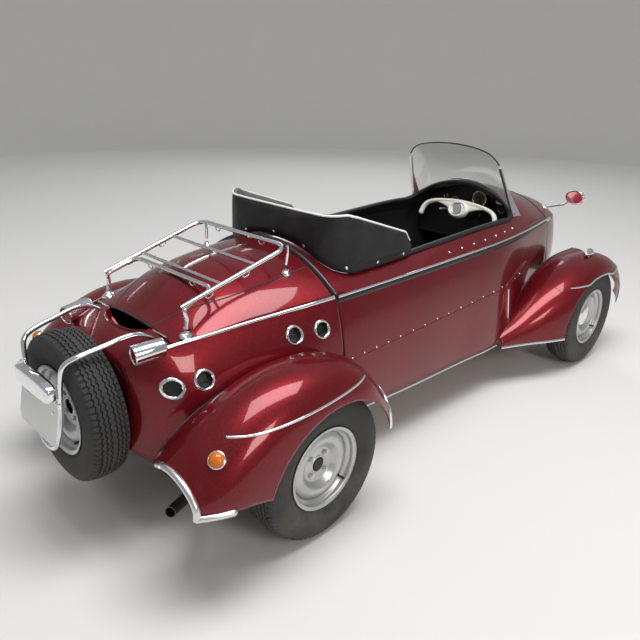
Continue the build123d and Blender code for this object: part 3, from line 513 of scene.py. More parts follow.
world = bpy.data.worlds.new("studio")
bpy.context.scene.world = world
world.use_nodes = True
background = world.node_tree.nodes["Background"]
background.inputs["Color"].default_value = (0.93, 0.96, 1.0, 1)
background.inputs["Strength"].default_value = 0.42


def held_at(right, up, back, place):
    """Matrix of a lamp or camera from its right, up and backward directions and its place."""
    return Matrix([[right[i], up[i], back[i], place[i]] for i in range(3)] + [[0, 0, 0, 1]])


def softbox(name, place, aim, size, power, colour=(1, 1, 1)):
    """A rectangular lamp at a place, facing a point."""
    lamp = bpy.data.lights.new(name, "AREA")
    lamp.shape, lamp.size, lamp.size_y = "RECTANGLE", *size
    lamp.energy, lamp.color = power, colour
    holder = bpy.data.objects.new(name, lamp)
    back = unit(np.array(place, float) - np.array(aim, float))
    right = unit(np.cross((0, 0, 1.0), back))
    holder.matrix_world = held_at(right, np.cross(back, right), back, place)
    bpy.context.scene.collection.objects.link(holder)


softbox("overhead", (-0.5, -0.9, 4.6), (0, 0, 0.3), (3.4, 1.8), 185)
softbox("right_side", (-1.6, -5.2, 3.2), (0, 0, 0.4), (1.6, 1.6), 95, (1.0, 0.96, 0.90))
softbox("left_front", (4.5, 4.0, 3.5), (0, 0, 0.5), (3.0, 2.0), 70, (0.92, 0.96, 1.0))

# %% Camera
CAMERA_PLACE = np.array([-2.082, -1.717, 1.437])
CAMERA_YAW, CAMERA_PITCH, CAMERA_ROLL = (math.radians(a) for a in (44.28, -22.31, 1.19))
FOCAL_PIXELS, PICTURE_PIXELS = 643.7, 640
ahead = np.array([math.cos(CAMERA_PITCH) * math.cos(CAMERA_YAW),
                  math.cos(CAMERA_PITCH) * math.sin(CAMERA_YAW), math.sin(CAMERA_PITCH)])
level = unit(np.cross(ahead, (0, 0, 1.0)))
upward = np.cross(level, ahead)
right = math.cos(CAMERA_ROLL) * level + math.sin(CAMERA_ROLL) * upward
top = math.cos(CAMERA_ROLL) * upward - math.sin(CAMERA_ROLL) * level
lens = bpy.data.cameras.new("camera")
lens.sensor_width = 36.0
lens.lens = FOCAL_PIXELS / PICTURE_PIXELS * lens.sensor_width
camera = bpy.data.objects.new("camera", lens)
camera.matrix_world = held_at(right, top, -ahead, CAMERA_PLACE)
bpy.context.scene.collection.objects.link(camera)
bpy.context.scene.camera = camera
bpy.context.scene.view_settings.view_transform = "Standard"
print("lens", round(lens.lens, 2), "mm")

# %% [markdown]
# ## The body
# The hull is one form from tail to nose. Its table gives, for each section, the belt line where
# the sides meet the deck, the widest point of the side, the floor, and the crest of the deck.
# Between the columns the section is made of arcs. The deck above the belt is one arc across the
# car; the flank is an arc bowed outwards, and then a rounded corner under the floor. Lengths in
# the tables are in millimetres, and x runs forwards from the middle of the car.

# %% Hull table and sections
REAR_AXLE, FRONT_AXLE = -860.0, 1030.0
SEAM_REAR, SEAM_FRONT, LID_REAR = -605.0, 1045.0, -1172.0
TAIL_END, NOSE_END = -1294.0, 1502.0
# x, belt half-width, belt height, side half-width, floor half-width, floor height, crest height
HULL = [
    (-1294, 170, 600, 192, 160, 302, 624),
    (-1236, 216, 638, 262, 226, 262, 660),
    (-1172, 236, 654, 312, 280, 240, 680),
    (-1065, 262, 664, 338, 312, 226, 742),
    (-950, 285, 674, 356, 338, 215, 792),
    (-780, 318, 685, 376, 350, 206, 817),
    (-605, 348, 696, 392, 352, 200, 824),
    (-350, 360, 699, 400, 372, 200, 825),
    (-100, 365, 700, 404, 388, 200, 832),
    (190, 366, 700, 406, 402, 200, 849),
    (470, 360, 700, 400, 408, 200, 868),
    (760, 325, 698, 338, 325, 200, 872),
    (1045, 268, 690, 292, 265, 205, 800),
    (1280, 194, 664, 216, 185, 245, 735),
    (1405, 124, 612, 142, 112, 300, 668),
    (1502, 22, 498, 28, 22, 422, 520),
]
# Height of the widest point of the side
SIDE_HEIGHT = 450.0
# Half of the gap at a cross seam, and the walls of body and fender sheet in metres
SEAM_GAP, BODY_WALL, FENDER_WALL = 1.5, 0.003, 0.004
# Points down the side, round the floor corner and along the floor
FLANK_COUNTS = (46, 8, 6)


def stack(x, y, z):
    """Grid in metres from x for each row and y, z arrays in millimetres."""
    return np.stack([np.broadcast_to(x[:, None], y.shape), y, z], axis=-1) * MM


def hull_at(x):
    """The hull's seven columns at one x."""
    return rows_at(HULL, np.array([float(x)]))


def deck_height(hull, y):
    """Height of the deck arc at a distance y from the middle, for each section."""
    belt, low, crest = hull[:, 1:2], hull[:, 2:3], hull[:, 6:7]
    rise = crest - low
    radius = (belt**2 + rise**2) / (2 * rise)
    return crest - radius + np.sqrt(np.maximum(radius**2 - y**2, 0))


def deck(x, inner, count, proud=0.0):
    """Left half of the deck, from an inner distance that may vary with x out to the belt."""
    hull = rows_at(HULL, x)
    low, high = np.broadcast_to(inner, x.shape)[:, None], hull[:, 1:2]
    y = low + (high - low) * np.linspace(0, 1, count)[None, :]
    return stack(x, y, deck_height(hull, y) + proud)


def floor_corner(floor_half):
    """Radius of the rounded corner under the floor, smaller where the hull gets narrow."""
    return np.minimum(45.0, 0.6 * floor_half)


def flank(x, counts=FLANK_COUNTS, proud=0.0):
    """Left flank from the belt down to the floor corner, round it and in to the middle of the floor."""
    _, belt, belt_z, side, floor, floor_z, _ = rows_at(HULL, x).T
    belt, side, floor = belt + proud, side + proud, floor + proud
    r = floor_corner(floor)
    ends = [np.stack([y, np.broadcast_to(z, y.shape)], axis=-1)
            for y, z in ((belt, belt_z), (side, SIDE_HEIGHT), (floor, floor_z + r))]
    y1, z1 = arc(*ends, np.linspace(0, 1, counts[0]))
    turn = np.linspace(0, np.pi / 2, counts[1])[None, 1:]
    y2 = (floor - r)[:, None] + r[:, None] * np.cos(turn)
    z2 = (floor_z + r)[:, None] - r[:, None] * np.sin(turn)
    y3 = (floor - r)[:, None] * np.linspace(1, 0, counts[2])[None, 1:]
    z3 = np.broadcast_to(floor_z[:, None], y3.shape)
    return stack(x, np.concatenate([y1, y2, y3], 1), np.concatenate([z1, z2, z3], 1))


def spaced(low, high, step):
    """Evenly spaced numbers from low to high, about a step apart."""
    return np.linspace(low, high, max(2, int(round((high - low) / step)) + 1))


print("hull half-width at the seams:", rows_at(HULL, np.array([SEAM_REAR, SEAM_FRONT]))[:, 1].round(1))

# %% [markdown]
# ### Rear body
# Below the belt the rear body carries four round air holes on each flank. A hole could be cut
# with a boolean, but on a fine grid it is simpler to leave out the cells inside the circle and to
# let the bright ring cover the stepped edge, just as the real ring covers a rough saw cut.

# %% Rear body, tail cap and outlet
HOLE_RADIUS = 24.0
# x and height of each air hole
HOLES = [(-1205, 543), (-1115, 552), (-790, 610), (-685, 606)]
# Length of the outlet behind the lid, and half of its width
OUTLET_REACH, OUTLET_HALF = 52.0, 118.0


def outside_holes(grid, holes, radius):
    """True for the cells of a grid whose middle lies outside every round hole, seen from the side."""
    middle = (grid[:-1, :-1] + grid[1:, 1:]) / 2 / MM
    keep = np.ones(middle.shape[:2], bool)
    for x, z in holes:
        keep &= (middle[..., 0] - x) ** 2 + (middle[..., 2] - z) ** 2 > radius**2
    return keep


tail_x = np.concatenate([spaced(TAIL_END, TAIL_END + 24, 3),
                         spaced(TAIL_END + 28, SEAM_REAR - SEAM_GAP, 5.5)])
side_grid = flank(tail_x, counts=(76, 8, 6))
outlet_end = LID_REAR - OUTLET_REACH
near_rim = LID_REAR - OUTLET_REACH * np.cos(np.linspace(0, np.pi / 2, 24))
deck_x = np.unique(np.concatenate([tail_x[tail_x < outlet_end], near_rim]))
share = np.clip((LID_REAR - deck_x) / OUTLET_REACH, 0, 1)
tail_deck = deck(deck_x, OUTLET_HALF * np.sqrt(1 - share**2), 40)
end_edge = np.concatenate([deck(tail_x[:1], 0, 24)[0], flank(tail_x[:1])[0]])
end_middle = np.array([TAIL_END, 0, 460.0]) * MM
cap = end_middle + (end_edge - end_middle) * np.linspace(0, 1, 12)[:, None, None]
keeps = [outside_holes(side_grid, HOLES, HOLE_RADIUS + 2)]
keeps += [np.ones((g.shape[0] - 1, g.shape[1] - 1), bool) for g in (tail_deck, cap)]
rear = piece("rear_body_panel", both_sides([side_grid, tail_deck, cap]), "body_paint", "body",
             keeps=keeps + [k[:, ::-1] for k in keeps])
thicken(rear, BODY_WALL)
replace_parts(rear, "rear_body")
print(rear.name, len(rear.data.polygons), "faces")

# %% [markdown]
# ### Cockpit tub, nose and canopy frame
# The tub is the flank again between the two cross seams. The canopy frame is the deck with the
# cockpit cut out of it: each side is a strip between the edge of the hole and the belt, and the
# scuttle in front is the full deck. The edge of the hole is a rectangle with round corners, so
# its half-width is a known function of x, and the strips simply start there.

# %% Tub, nose, canopy frame and engine lid
COCKPIT_REAR, COCKPIT_FRONT, COCKPIT_HALF, COCKPIT_CORNER = -560.0, 676.0, 298.0, 90.0


def hole_half(x):
    """Half-width of the cockpit opening at x, zero outside it."""
    near = np.minimum(x - COCKPIT_REAR, COCKPIT_FRONT - x)
    inset = np.clip(COCKPIT_CORNER - near, 0, COCKPIT_CORNER)
    half = COCKPIT_HALF - COCKPIT_CORNER + np.sqrt(np.maximum(COCKPIT_CORNER**2 - inset**2, 0))
    return np.where(near < 0, 0, half)


def corner_spaced(low, high, step):
    """Stations about a step apart, closer together where the hole's corners turn."""
    turn = COCKPIT_CORNER * (1 - np.cos(np.linspace(0, np.pi / 2, 14)))
    just_outside = [COCKPIT_REAR - 0.01, COCKPIT_FRONT + 0.01]
    extra = np.concatenate([COCKPIT_REAR + turn, COCKPIT_FRONT - turn, just_outside])
    return np.unique(np.concatenate([spaced(low, high, step), extra]))


tub_x = spaced(SEAM_REAR + SEAM_GAP, SEAM_FRONT - SEAM_GAP, 12)
tub = piece("tub_side_panel", both_sides([flank(tub_x, counts=(34, 8, 6))]), "body_paint", "body")
thicken(tub, BODY_WALL)
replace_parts(tub, "tub_shell")

canopy_x = corner_spaced(SEAM_REAR + SEAM_GAP, SEAM_FRONT - 4, 12)
canopy_strips = both_sides([deck(canopy_x, hole_half(canopy_x), 30)])
canopy = piece("canopy_deck", canopy_strips, "body_paint", "canopy", weld=5e-5)
thicken(canopy, BODY_WALL)
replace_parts(canopy, "canopy_frame")

nose_x = np.unique(np.concatenate([spaced(SEAM_FRONT, 1440, 10), spaced(1440, NOSE_END, 4)]))
nose_side, nose_deck = flank(nose_x, counts=(30, 8, 6)), deck(nose_x, 0, 24)
nose_edge = np.concatenate([nose_deck[-1], nose_side[-1]])
nose_middle = np.array([NOSE_END + 1.5, 0, 470.0]) * MM
nose_cap = nose_edge + (nose_middle - nose_edge) * np.linspace(0, 1, 5)[:, None, None]
nose = piece("nose_panel", both_sides([nose_side, nose_deck, nose_cap]), "body_paint", "body", sharp=60)
thicken(nose, BODY_WALL)
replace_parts(nose, "nose_shell")

lid_x = spaced(LID_REAR + 4, SEAM_REAR - 5, 9)
lid = piece("engine_lid_panel", both_sides([deck(lid_x, 0, 34)]), "body_paint", "engine_cover")
thicken(lid, BODY_WALL)
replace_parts(lid, "engine_lid")
print("hull panels:", sum(len(t.data.polygons) for t in (rear, tub, canopy, nose, lid)), "faces")

# %% [markdown]
# ### Fenders
# Each fender is its own sheet: up the outer skirt, over the crest and down to the crease where it
# meets the body. Six points per section are enough, joined by a smooth line. Two cuts then
# shape it. The skirt starts at the wheel opening, an ellipse round the wheel, and the sheet
# stops where it reaches the flank, which is found by comparing its width with the flank's there.

# %% Fender sheets
# x from the axle, joint height, crest y, crest height, outer y, shoulder height, bottom height
REAR_FENDER = [
    (-475, 375, 440, 412, 560, 350, 318),
    (-400, 440, 470, 480, 600, 385, 318),
    (-270, 495, 500, 556, 620, 445, 300),
    (-110, 525, 515, 600, 628, 500, 250),
    (60, 500, 520, 590, 628, 500, 250),
    (180, 430, 520, 535, 622, 455, 250),
    (262, 350, 520, 440, 605, 380, 250),
]
FRONT_FENDER = [
    (-590, 236, 384, 256, 430, 226, 206),
    (-460, 292, 420, 318, 490, 270, 206),
    (-330, 365, 455, 412, 560, 335, 206),
    (-190, 440, 490, 492, 612, 402, 206),
    (-70, 470, 506, 530, 630, 444, 206),
    (50, 462, 515, 543, 634, 458, 206),
    (180, 430, 510, 524, 626, 436, 206),
    (290, 370, 490, 462, 598, 384, 270),
    (355, 325, 470, 388, 552, 346, 290),
]
# Where every fender section ends inside the body, and the height of the wheels' middles
JOINT_Y, WHEEL_HEIGHT = 340.0, 247.0


def flank_half(hull, z):
    """Half-width of the flank at heights z, off the circle through belt, side and floor corner."""
    _, belt, belt_z, side, floor, floor_z, _ = hull
    low = floor_z + floor_corner(floor)
    u, v, radius = circle((belt, belt_z), (side, SIDE_HEIGHT), (floor, low))
    z_in = np.clip(z, low, belt_z)
    return u + math.copysign(1, side - u) * np.sqrt(np.maximum(radius**2 - (z_in - v) ** 2, 0))


def fender_line(row, count=400):
    """One smooth section: skirt, shoulder, crest and joint, as dense (y, z) points."""
    joint_z, crest_y, crest_z, outer, shoulder_z, bottom = row
    ends = [np.array([p], float) for p in ((outer, shoulder_z), (crest_y, crest_z), (JOINT_Y, joint_z))]
    y, z = arc(*ends, np.array([0.22, 0.5, 0.78]))
    skirt = [(outer - 4, bottom), (outer, 0.4 * bottom + 0.6 * shoulder_z)]
    return through(skirt + list(zip(y[0], z[0])) + [(JOINT_Y, joint_z)], count)


def fender_sheet(axle, table, opening, count=44, step=9.0, lobes=None):
    """Left fender's grid: one row a station along the car, from the skirt's lower edge to the body."""
    half, rise = opening
    turn = half * np.cos(np.linspace(0, np.pi, 60))
    dx = np.unique(np.concatenate([spaced(table[0][0], table[-1][0], step), turn]))
    dx = dx[(dx >= table[0][0]) & (dx <= table[-1][0])]
    lines = []
    for x, row, hull in zip(dx, rows_at(table, dx)[:, 1:], rows_at(HULL, axle + dx)):
        line = fender_line(row)
        if lobes is not None:
            line = lobes(x, line)
        over_wheel = abs(x) < half
        arch = WHEEL_HEIGHT + rise * math.sqrt(max(0.0, 1 - (x / half) ** 2)) if over_wheel else 0.0
        first = int(np.argmax(line[:, 1] >= max(row[5], arch)))
        outside = line[:, 0] - flank_half(hull, line[:, 1]) > -2.0
        last = len(line) - 1 if outside[first:].all() else first + int(np.argmin(outside[first:]))
        kept = line[first:max(last, first + 2)]
        length = knots_of(kept)
        at = np.linspace(0, length[-1], count)
        y, z = np.interp(at, length, kept[:, 0]), np.interp(at, length, kept[:, 1])
        lines.append(np.stack([np.full(count, axle + x), y, z], axis=-1))
    return np.array(lines) * MM


# Half length and rise over the wheel's middle of the ellipse of each wheel opening
REAR_OPENING, FRONT_OPENING = (269.0, 243.0), (273.0, 227.0)
rear_sheet = fender_sheet(REAR_AXLE, REAR_FENDER, REAR_OPENING)
for side, grid in (("left", flipped(rear_sheet)), ("right", mirrored(flipped(rear_sheet)))):
    fender = piece("rear_fender_sheet_" + side, [grid], "body_paint", "body", sharp=50)
    thicken(fender, FENDER_WALL)
    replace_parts(fender, "rear_fender_" + side)

# %% [markdown]
# The front fender has a second, lower swelling on its inner side, which ends in the headlamp. It is
# a row of round sections. Where one of them stands higher than the fender, the section takes the
# higher of the two, with a soft valley between them.

# %% Front fender with its headlamp lobe
LOBE_Y, LAMP_HEIGHT, LAMP_FRONT = 362.0, 430.0, 232.0
# x from the axle, height and radius of the lobe's round sections
LOBES = [(-430, 300, 14), (-260, 374, 50), (-90, 424, 74), (80, 434, 81), (232, 430, 82)]
VALLEY = 9.0


def with_lobe(x, line):
    """Raises a fender section over the headlamp lobe, blending the two over the valley's width."""
    if x > LOBES[-1][0]:
        return line
    x_in = float(np.clip(x, LOBES[0][0], LOBES[-1][0]))
    _, z0, r = rows_at(LOBES, np.array([x_in]))[0]
    near = np.clip(1 - ((line[:, 0] - LOBE_Y) / r) ** 2, 0, None)
    far_below = -1e3
    lobe_z = np.where(near > 0, z0 + r * np.sqrt(near), far_below)
    gap = np.clip(0.5 + (lobe_z - line[:, 1]) / (2 * VALLEY), 0, 1)
    lifted = line[:, 1] * (1 - gap) + lobe_z * gap + VALLEY * gap * (1 - gap)
    return np.stack([line[:, 0], np.where(near > 0, lifted, line[:, 1])], axis=-1)


front_sheet = fender_sheet(FRONT_AXLE, FRONT_FENDER, FRONT_OPENING, count=64, lobes=with_lobe)
cell = (front_sheet[:-1, :-1] + front_sheet[1:, 1:]) / 2 / MM
from_lamp = np.hypot(cell[..., 1] - LOBE_Y, cell[..., 2] - LAMP_HEIGHT)
lamp_hole = (cell[..., 0] > FRONT_AXLE + LAMP_FRONT) & (from_lamp < 81)
for side, grid, keep in (("left", flipped(front_sheet), ~lamp_hole[:, ::-1]),
                         ("right", mirrored(flipped(front_sheet)), ~lamp_hole)):
    fender = piece("front_fender_sheet_" + side, [grid], "body_paint", "body", keeps=[keep], sharp=50)
    thicken(fender, FENDER_WALL)
    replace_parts(fender, "front_fender_" + side)
print("fender grids:", rear_sheet.shape, front_sheet.shape)

# %% [markdown]
# ## Tyres
# A tyre is a section turned round the axle. The tread pattern could be carved with booleans, but
# that is heavy and fragile. Here the pattern is in the section itself: the columns of the grid
# follow the grooves, and swing from side to side along the tread as a triangle wave, so the ribs
# run in zigzags. Every fourth step of the outer ribs is sunk, which cuts the shoulder into blocks.

# %% Tyres with zigzag ribs
# Half of the tread: distance from the middle, depth, swing, sunk every fourth step
TREAD = [(0, 0, 1, 0), (8, 0, 1, 0), (9, 6, 1, 0), (12.5, 6, 1, 0), (13.5, 0, 1, 0), (23, 0, 1, 0),
         (24, 6, 1, 0), (27.5, 6, 1, 0), (28.5, 0, 1, 0), (38, 0, 1, 0), (39, 6, 1, 0), (42.5, 6, 1, 0),
         (43.5, 0, 1, 0), (47, 0, 0.6, 1), (56, 0, 0, 1)]
WAVES, SWING, NOTCH_DEPTH = 76, 2.6, 4.5
# The bead that grips the rim: half of its width, and its radii at the sidewall and inside
BEAD_HALF, BEAD_RADIUS, BEAD_INSIDE = 50.0, 142.0, 131.0
# How far the shoulder lies inside the sidewall and under the crown, and the drop of the crown's edge
SHOULDER_IN, SHOULDER_DOWN, CROWN_DROP = 13.0, 9.5, 9.0
# Rows of the sidewall that stand out as thin rings
RING_ROWS, RING_HEIGHT = (3, 6, 11, 12), 0.9


def around(axle):
    """Two directions square to an axle and to each other, the first one level."""
    axle = np.asarray(axle, float)
    level = np.cross(axle, (0, 0, 1.0))
    return level, np.cross(axle, level)


def tyre_grid(radius, width, centre, axle):
    """Tyre: across and radius are functions of the turn and the column, bulged sidewalls from two arcs."""
    tread = np.array(TREAD, float)
    half, reach = width / 2, TREAD[-1][0] + 1
    ends = [np.array([p]) for p in ((half - SHOULDER_IN, radius - SHOULDER_DOWN),
                                    (half, (BEAD_RADIUS + radius) / 2), (BEAD_HALF, BEAD_RADIUS))]
    wall_y, wall_r = arc(*ends, np.linspace(0, 1, 18)[1:])
    ridge = RING_HEIGHT * np.isin(np.arange(17), RING_ROWS)
    across = np.concatenate([tread[:, 0] * (half - SHOULDER_IN) / reach, wall_y[0] - ridge, [BEAD_HALF]])
    crown = radius - CROWN_DROP * (tread[:, 0] / reach) ** 2
    height = np.concatenate([crown - tread[:, 1], wall_r[0], [BEAD_INSIDE]])
    swing = np.concatenate([tread[:, 2], np.zeros(18)])
    sunk = np.concatenate([tread[:, 3], [1.0], np.zeros(17)])
    across = np.concatenate([-across[:0:-1], across, -across[-1:]])
    height, swing, sunk = (np.concatenate([v[:0:-1], v, v[-1:]]) for v in (height, swing, sunk))
    step = np.arange(4 * WAVES + 1)
    side = np.array([0, 1, 0, -1.0])[step % 4][:, None]
    notch = (step % 4 == 0)[:, None]
    y = across[None] + SWING * side * swing[None]
    r = height[None] - NOTCH_DEPTH * notch * sunk[None]
    axle = np.asarray(axle, float)
    u, v = around(axle)
    angle = step / (4 * WAVES) * 2 * np.pi
    ray = np.cos(angle)[:, None] * u + np.sin(angle)[:, None] * v
    return np.asarray(centre, float) + y[..., None] * MM * axle + r[..., None] * MM * ray[:, None]


# name, centre in metres, outward axle, body, tyre radius, tyre width
WHEELS = [
    ("front_left", (1.030, 0.525, 0.247), (0, 1, 0), "wheel_front_left", 247.0, 140.0),
    ("front_right", (1.030, -0.525, 0.247), (0, -1, 0), "wheel_front_right", 247.0, 140.0),
    ("rear_left", (-0.860, 0.510, 0.247), (0, 1, 0), "wheel_rear_left", 247.0, 140.0),
    ("rear_right", (-0.860, -0.510, 0.247), (0, -1, 0), "wheel_rear_right", 247.0, 140.0),
    ("spare", (-1.376, 0, 0.446), (-1, 0, 0), "body", 236.0, 128.0),
]
for name, centre, axle, body, radius, width in WHEELS:
    tyre = piece(name + "_tyre_ribbed", [tyre_grid(radius, width, centre, axle)], "tyre", body, sharp=35)
    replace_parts(tyre, "spare_tyre" if name == "spare" else "tyre_" + name)
print("each tyre:", len(tyre.data.polygons), "faces")

# %% [markdown]
# ## Rims, nuts and hub caps
# The pressed rim is two sheets: a barrel with rolled lips and a drop centre, and a dished disc
# welded inside it, held by four nuts round an open centre. Both are closed profiles turned round the
# axle. The rear wheels show their discs, and the front wheels carry plain domed caps.

# %% Rims and caps
def softened(before, corner, after, reach, t):
    """Points at shares t of the curve that cuts a corner, starting and ending a reach away from it."""
    reach = min(reach, *(0.45 * np.linalg.norm(corner - end) for end in (before, after)))
    a, b = corner + reach * unit(before - corner), corner + reach * unit(after - corner)
    t = t[:, None]
    return (1 - t) ** 2 * a + 2 * t * (1 - t) * corner + t**2 * b


def rounded(points, radius, count=5):
    """Line of straight runs between points, with every inner corner softened."""
    points = np.asarray(points, float)
    t = np.linspace(0, 1, count)
    corners = [softened(*three, radius, t) for three in zip(points[:-2], points[1:-1], points[2:])]
    return np.concatenate([points[:1], *corners, points[-1:]])


def sheet_ring(line, wall, radius=4.0):
    """Closed profile of a turned sheet: a rounded line, and the same line set back by the wall."""
    front = rounded(line, radius)
    ahead = heading(front)
    back = front + wall * np.stack([ahead[:, 1], -ahead[:, 0]], axis=-1)
    return np.concatenate([front, back[::-1], front[:1]])


# Profiles as (along the axle, radius), the outer end of the axle last
BARREL = [(57, 137), (57, 141), (53, 141), (52, 134), (50, 130.7), (38, 130.7), (29, 119), (-29, 119),
          (-38, 130.7), (-50, 130.7), (-52, 134), (-53, 141), (-57, 141), (-57, 137)]
DISC = [(18, 116), (26, 112), (34, 100), (37, 90), (34, 80), (22, 68), (15, 62), (14, 56), (14, 30),
        (17, 26.5), (17, 24)]
NUT = [(0, 0), (0, 10.5), (2, 10.5), (2, 9), (9, 9), (11, 7), (11, 4), (14, 3.6), (14, 0)]
VALVE = [(-4, 0), (-4, 5), (2, 5), (3, 3.4), (15, 3.4), (15, 4.2), (24, 4.2), (25, 3), (25, 0)]
HUB_CAP = [(14.4, 60), (14.4, 64.5), (17, 64.5), (19, 60), (27, 55), (34, 40), (37.5, 18), (38, 0)]
RIM_WALL, NUT_COUNT, VALVE_ANGLE = 3.2, 4, 2.4


def on_disc(centre, axle, out, radius, angle):
    """A place on a wheel's disc, out and radius in metres."""
    u, v = around(axle)
    ray = math.cos(angle) * u + math.sin(angle) * v
    return np.array(centre) + out * np.array(axle, float) + radius * ray


for name, centre, axle, body, radius, width in WHEELS:
    sheets = [turned(sheet_ring(BARREL, -RIM_WALL), centre, axle, 112),
              turned(sheet_ring(DISC, -RIM_WALL, 6.0), centre, axle, 112)]
    rim = piece(name + "_rim_pressed", [flipped(s) for s in sheets], "wheel_silver", body, sharp=32)
    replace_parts(rim, "spare_rim" if name == "spare" else "rim_" + name)
    nut_angles = [math.radians(45 + 360 / NUT_COUNT * k) for k in range(NUT_COUNT)]
    nuts = [turned(NUT, on_disc(centre, axle, 0.014, 0.043, a), axle, 6) for a in nut_angles]
    piece(name + "_wheel_nuts", nuts, "aluminium", body, sharp=25)
    valve = turned(VALVE, on_disc(centre, axle, 0.030, 0.114, VALVE_ANGLE), axle, 14)
    piece(name + "_valve", [valve], "black_trim", body)
    if name.startswith("front"):
        cap = turned(np.concatenate([[(HUB_CAP[0][0], 0)], rounded(HUB_CAP, 7.0)]), centre, axle, 80)
        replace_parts(piece(name + "_hub_dome", [cap], "chrome", body, sharp=50), "hub_cap_" + name)

# %% [markdown]
# ## Bright trim
# Almost every edge of this car carries a bead, a strip or a tube. They are all the same idea: a
# small profile carried along a line that lies on a panel. A helper finds points on the deck or on
# the flank from their x, so that a strip bends with the sheet under it and can't float.

# %% Lines on the panels
def on_deck(x, y):
    """Points on the deck at arrays of x and distance from the middle, in metres."""
    x, y = np.asarray(x, float), np.asarray(y, float)
    hull = rows_at(HULL, x)
    return np.stack([x, y, deck_height(hull, y[:, None])[:, 0]], axis=-1) * MM


def on_flank(x, z, side=-1, proud=0.0):
    """Points on one flank at arrays of x and height, in metres, moved out by proud millimetres."""
    x, z = np.asarray(x, float), np.asarray(z, float)
    half = np.array([flank_half(h, np.array([zi]))[0] for h, zi in zip(rows_at(HULL, x), z)])
    return np.stack([x, side * (half + proud), z], axis=-1) * MM


def belt_line(x, side=-1, lift=0.0):
    """Points along the belt, where deck and flank meet."""
    hull = rows_at(HULL, np.asarray(x, float))
    return np.stack([x, side * hull[:, 1], hull[:, 2] + lift], axis=-1) * MM


def half_round(width, height):
    """Profile of a trim strip: sunk a little underneath, arched on top, as (across, upright) points."""
    turn = np.linspace(0, np.pi, 9)
    arch = np.stack([width / 2 * np.cos(turn), height * np.sin(turn)], axis=-1)
    return np.concatenate([arch, [(-width / 2, -1.5), (width / 2, -1.5)]]) * MM


def outwards(path, side, tilt=0.0):
    """The direction out of the body's side for each point of a path, leaning up by a tilt."""
    return np.broadcast_to(np.array([0, side * math.cos(tilt), math.sin(tilt)]), path.shape)


def strip(name, path, profile, side, tilt, material="chrome", scale=None, sharp=40):
    """A strip on the body's side, its arched face pointing outwards."""
    grid = carry(path, profile, up=outwards(path, side, tilt), scale=scale)
    return piece(name, [grid], material, "body", sharp=sharp)


# %% Belt strips, rail and sills
for side, label in SIDES:
    rear_belt = belt_line(spaced(-1200, -612, 12), side)
    strip("belt_strip_rear_" + label, rear_belt, half_round(13, 5), side, 0.5, sharp=50)
    second = belt_line(spaced(-1200, -1010, 10), side, lift=-12)
    taper = np.clip(np.arange(len(second))[::-1] / 6.0, 0.3, 1)
    strip("belt_strip_second_" + label, second, half_round(10, 4.5), side, 0.2, scale=taper)
    tub_x = spaced(-600, 1030, 12)
    rail_line = belt_line(tub_x, side, lift=-15)
    strip("belt_rubber_" + label, rail_line, half_round(25, 9), side, 0.15, "rubber_seal", sharp=50)
    bright = belt_line(tub_x, side, lift=-1) + np.array([0, side * 0.004, 0])
    strip("belt_strip_front_" + label, bright, half_round(10, 5), side, 0.6, sharp=50)
    tip = belt_line(spaced(1034, 1130, 8), side, lift=-8)
    tip_shape = np.sin(np.linspace(0.25, np.pi * 0.92, len(tip))) ** 0.6
    strip("belt_tip_" + label, tip, half_round(20, 10), side, 0.3, scale=tip_shape)
    sill_x = spaced(-560, 430, 16)
    sill = on_flank(sill_x, np.full_like(sill_x, 222.0), side)
    strip("sill_strip_" + label, sill, half_round(9, 4.5), side, 0.0, sharp=50)
print("belt strips along", len(rear_belt) + len(tub_x), "points a side")

# %% [markdown]
# ### Beads on the fenders
# The fender grids already hold the lines that the beads follow: a grid's last row is the fender's
# front edge, its first column is the edge of the wheel opening, and its last column is the crease
# against the body. Each bead takes its path from there, so it can't miss the sheet.

# %% Fender beads and side strips
def level_line(grid, ends, x_low, x_high):
    """Where a fender grid passes the straight line through two (x, z) ends, row by row."""
    (x0, z0), (x1, z1) = ends
    points = []
    for row in grid:
        x = row[0, 0]
        if x_low <= x <= x_high:
            z = z0 + (z1 - z0) * (x - x0) / (x1 - x0)
            k = int(np.argmax(row[:, 2] >= z))
            share = (z - row[k - 1, 2]) / max(row[k, 2] - row[k - 1, 2], 1e-6) if k else 0.0
            points.append(row[k - 1] * (1 - share) + row[k] * share if k else row[0])
    return np.array(points)


def thinned(path, tip):
    """The path, and sizes that round its two ends off over a tip's length."""
    run = knots_of(path)
    near = np.clip(np.minimum(run, run[-1] - run) / tip, 0, 1)
    return path, np.sqrt(np.clip(1 - (1 - near) ** 2, 0.02, 1))


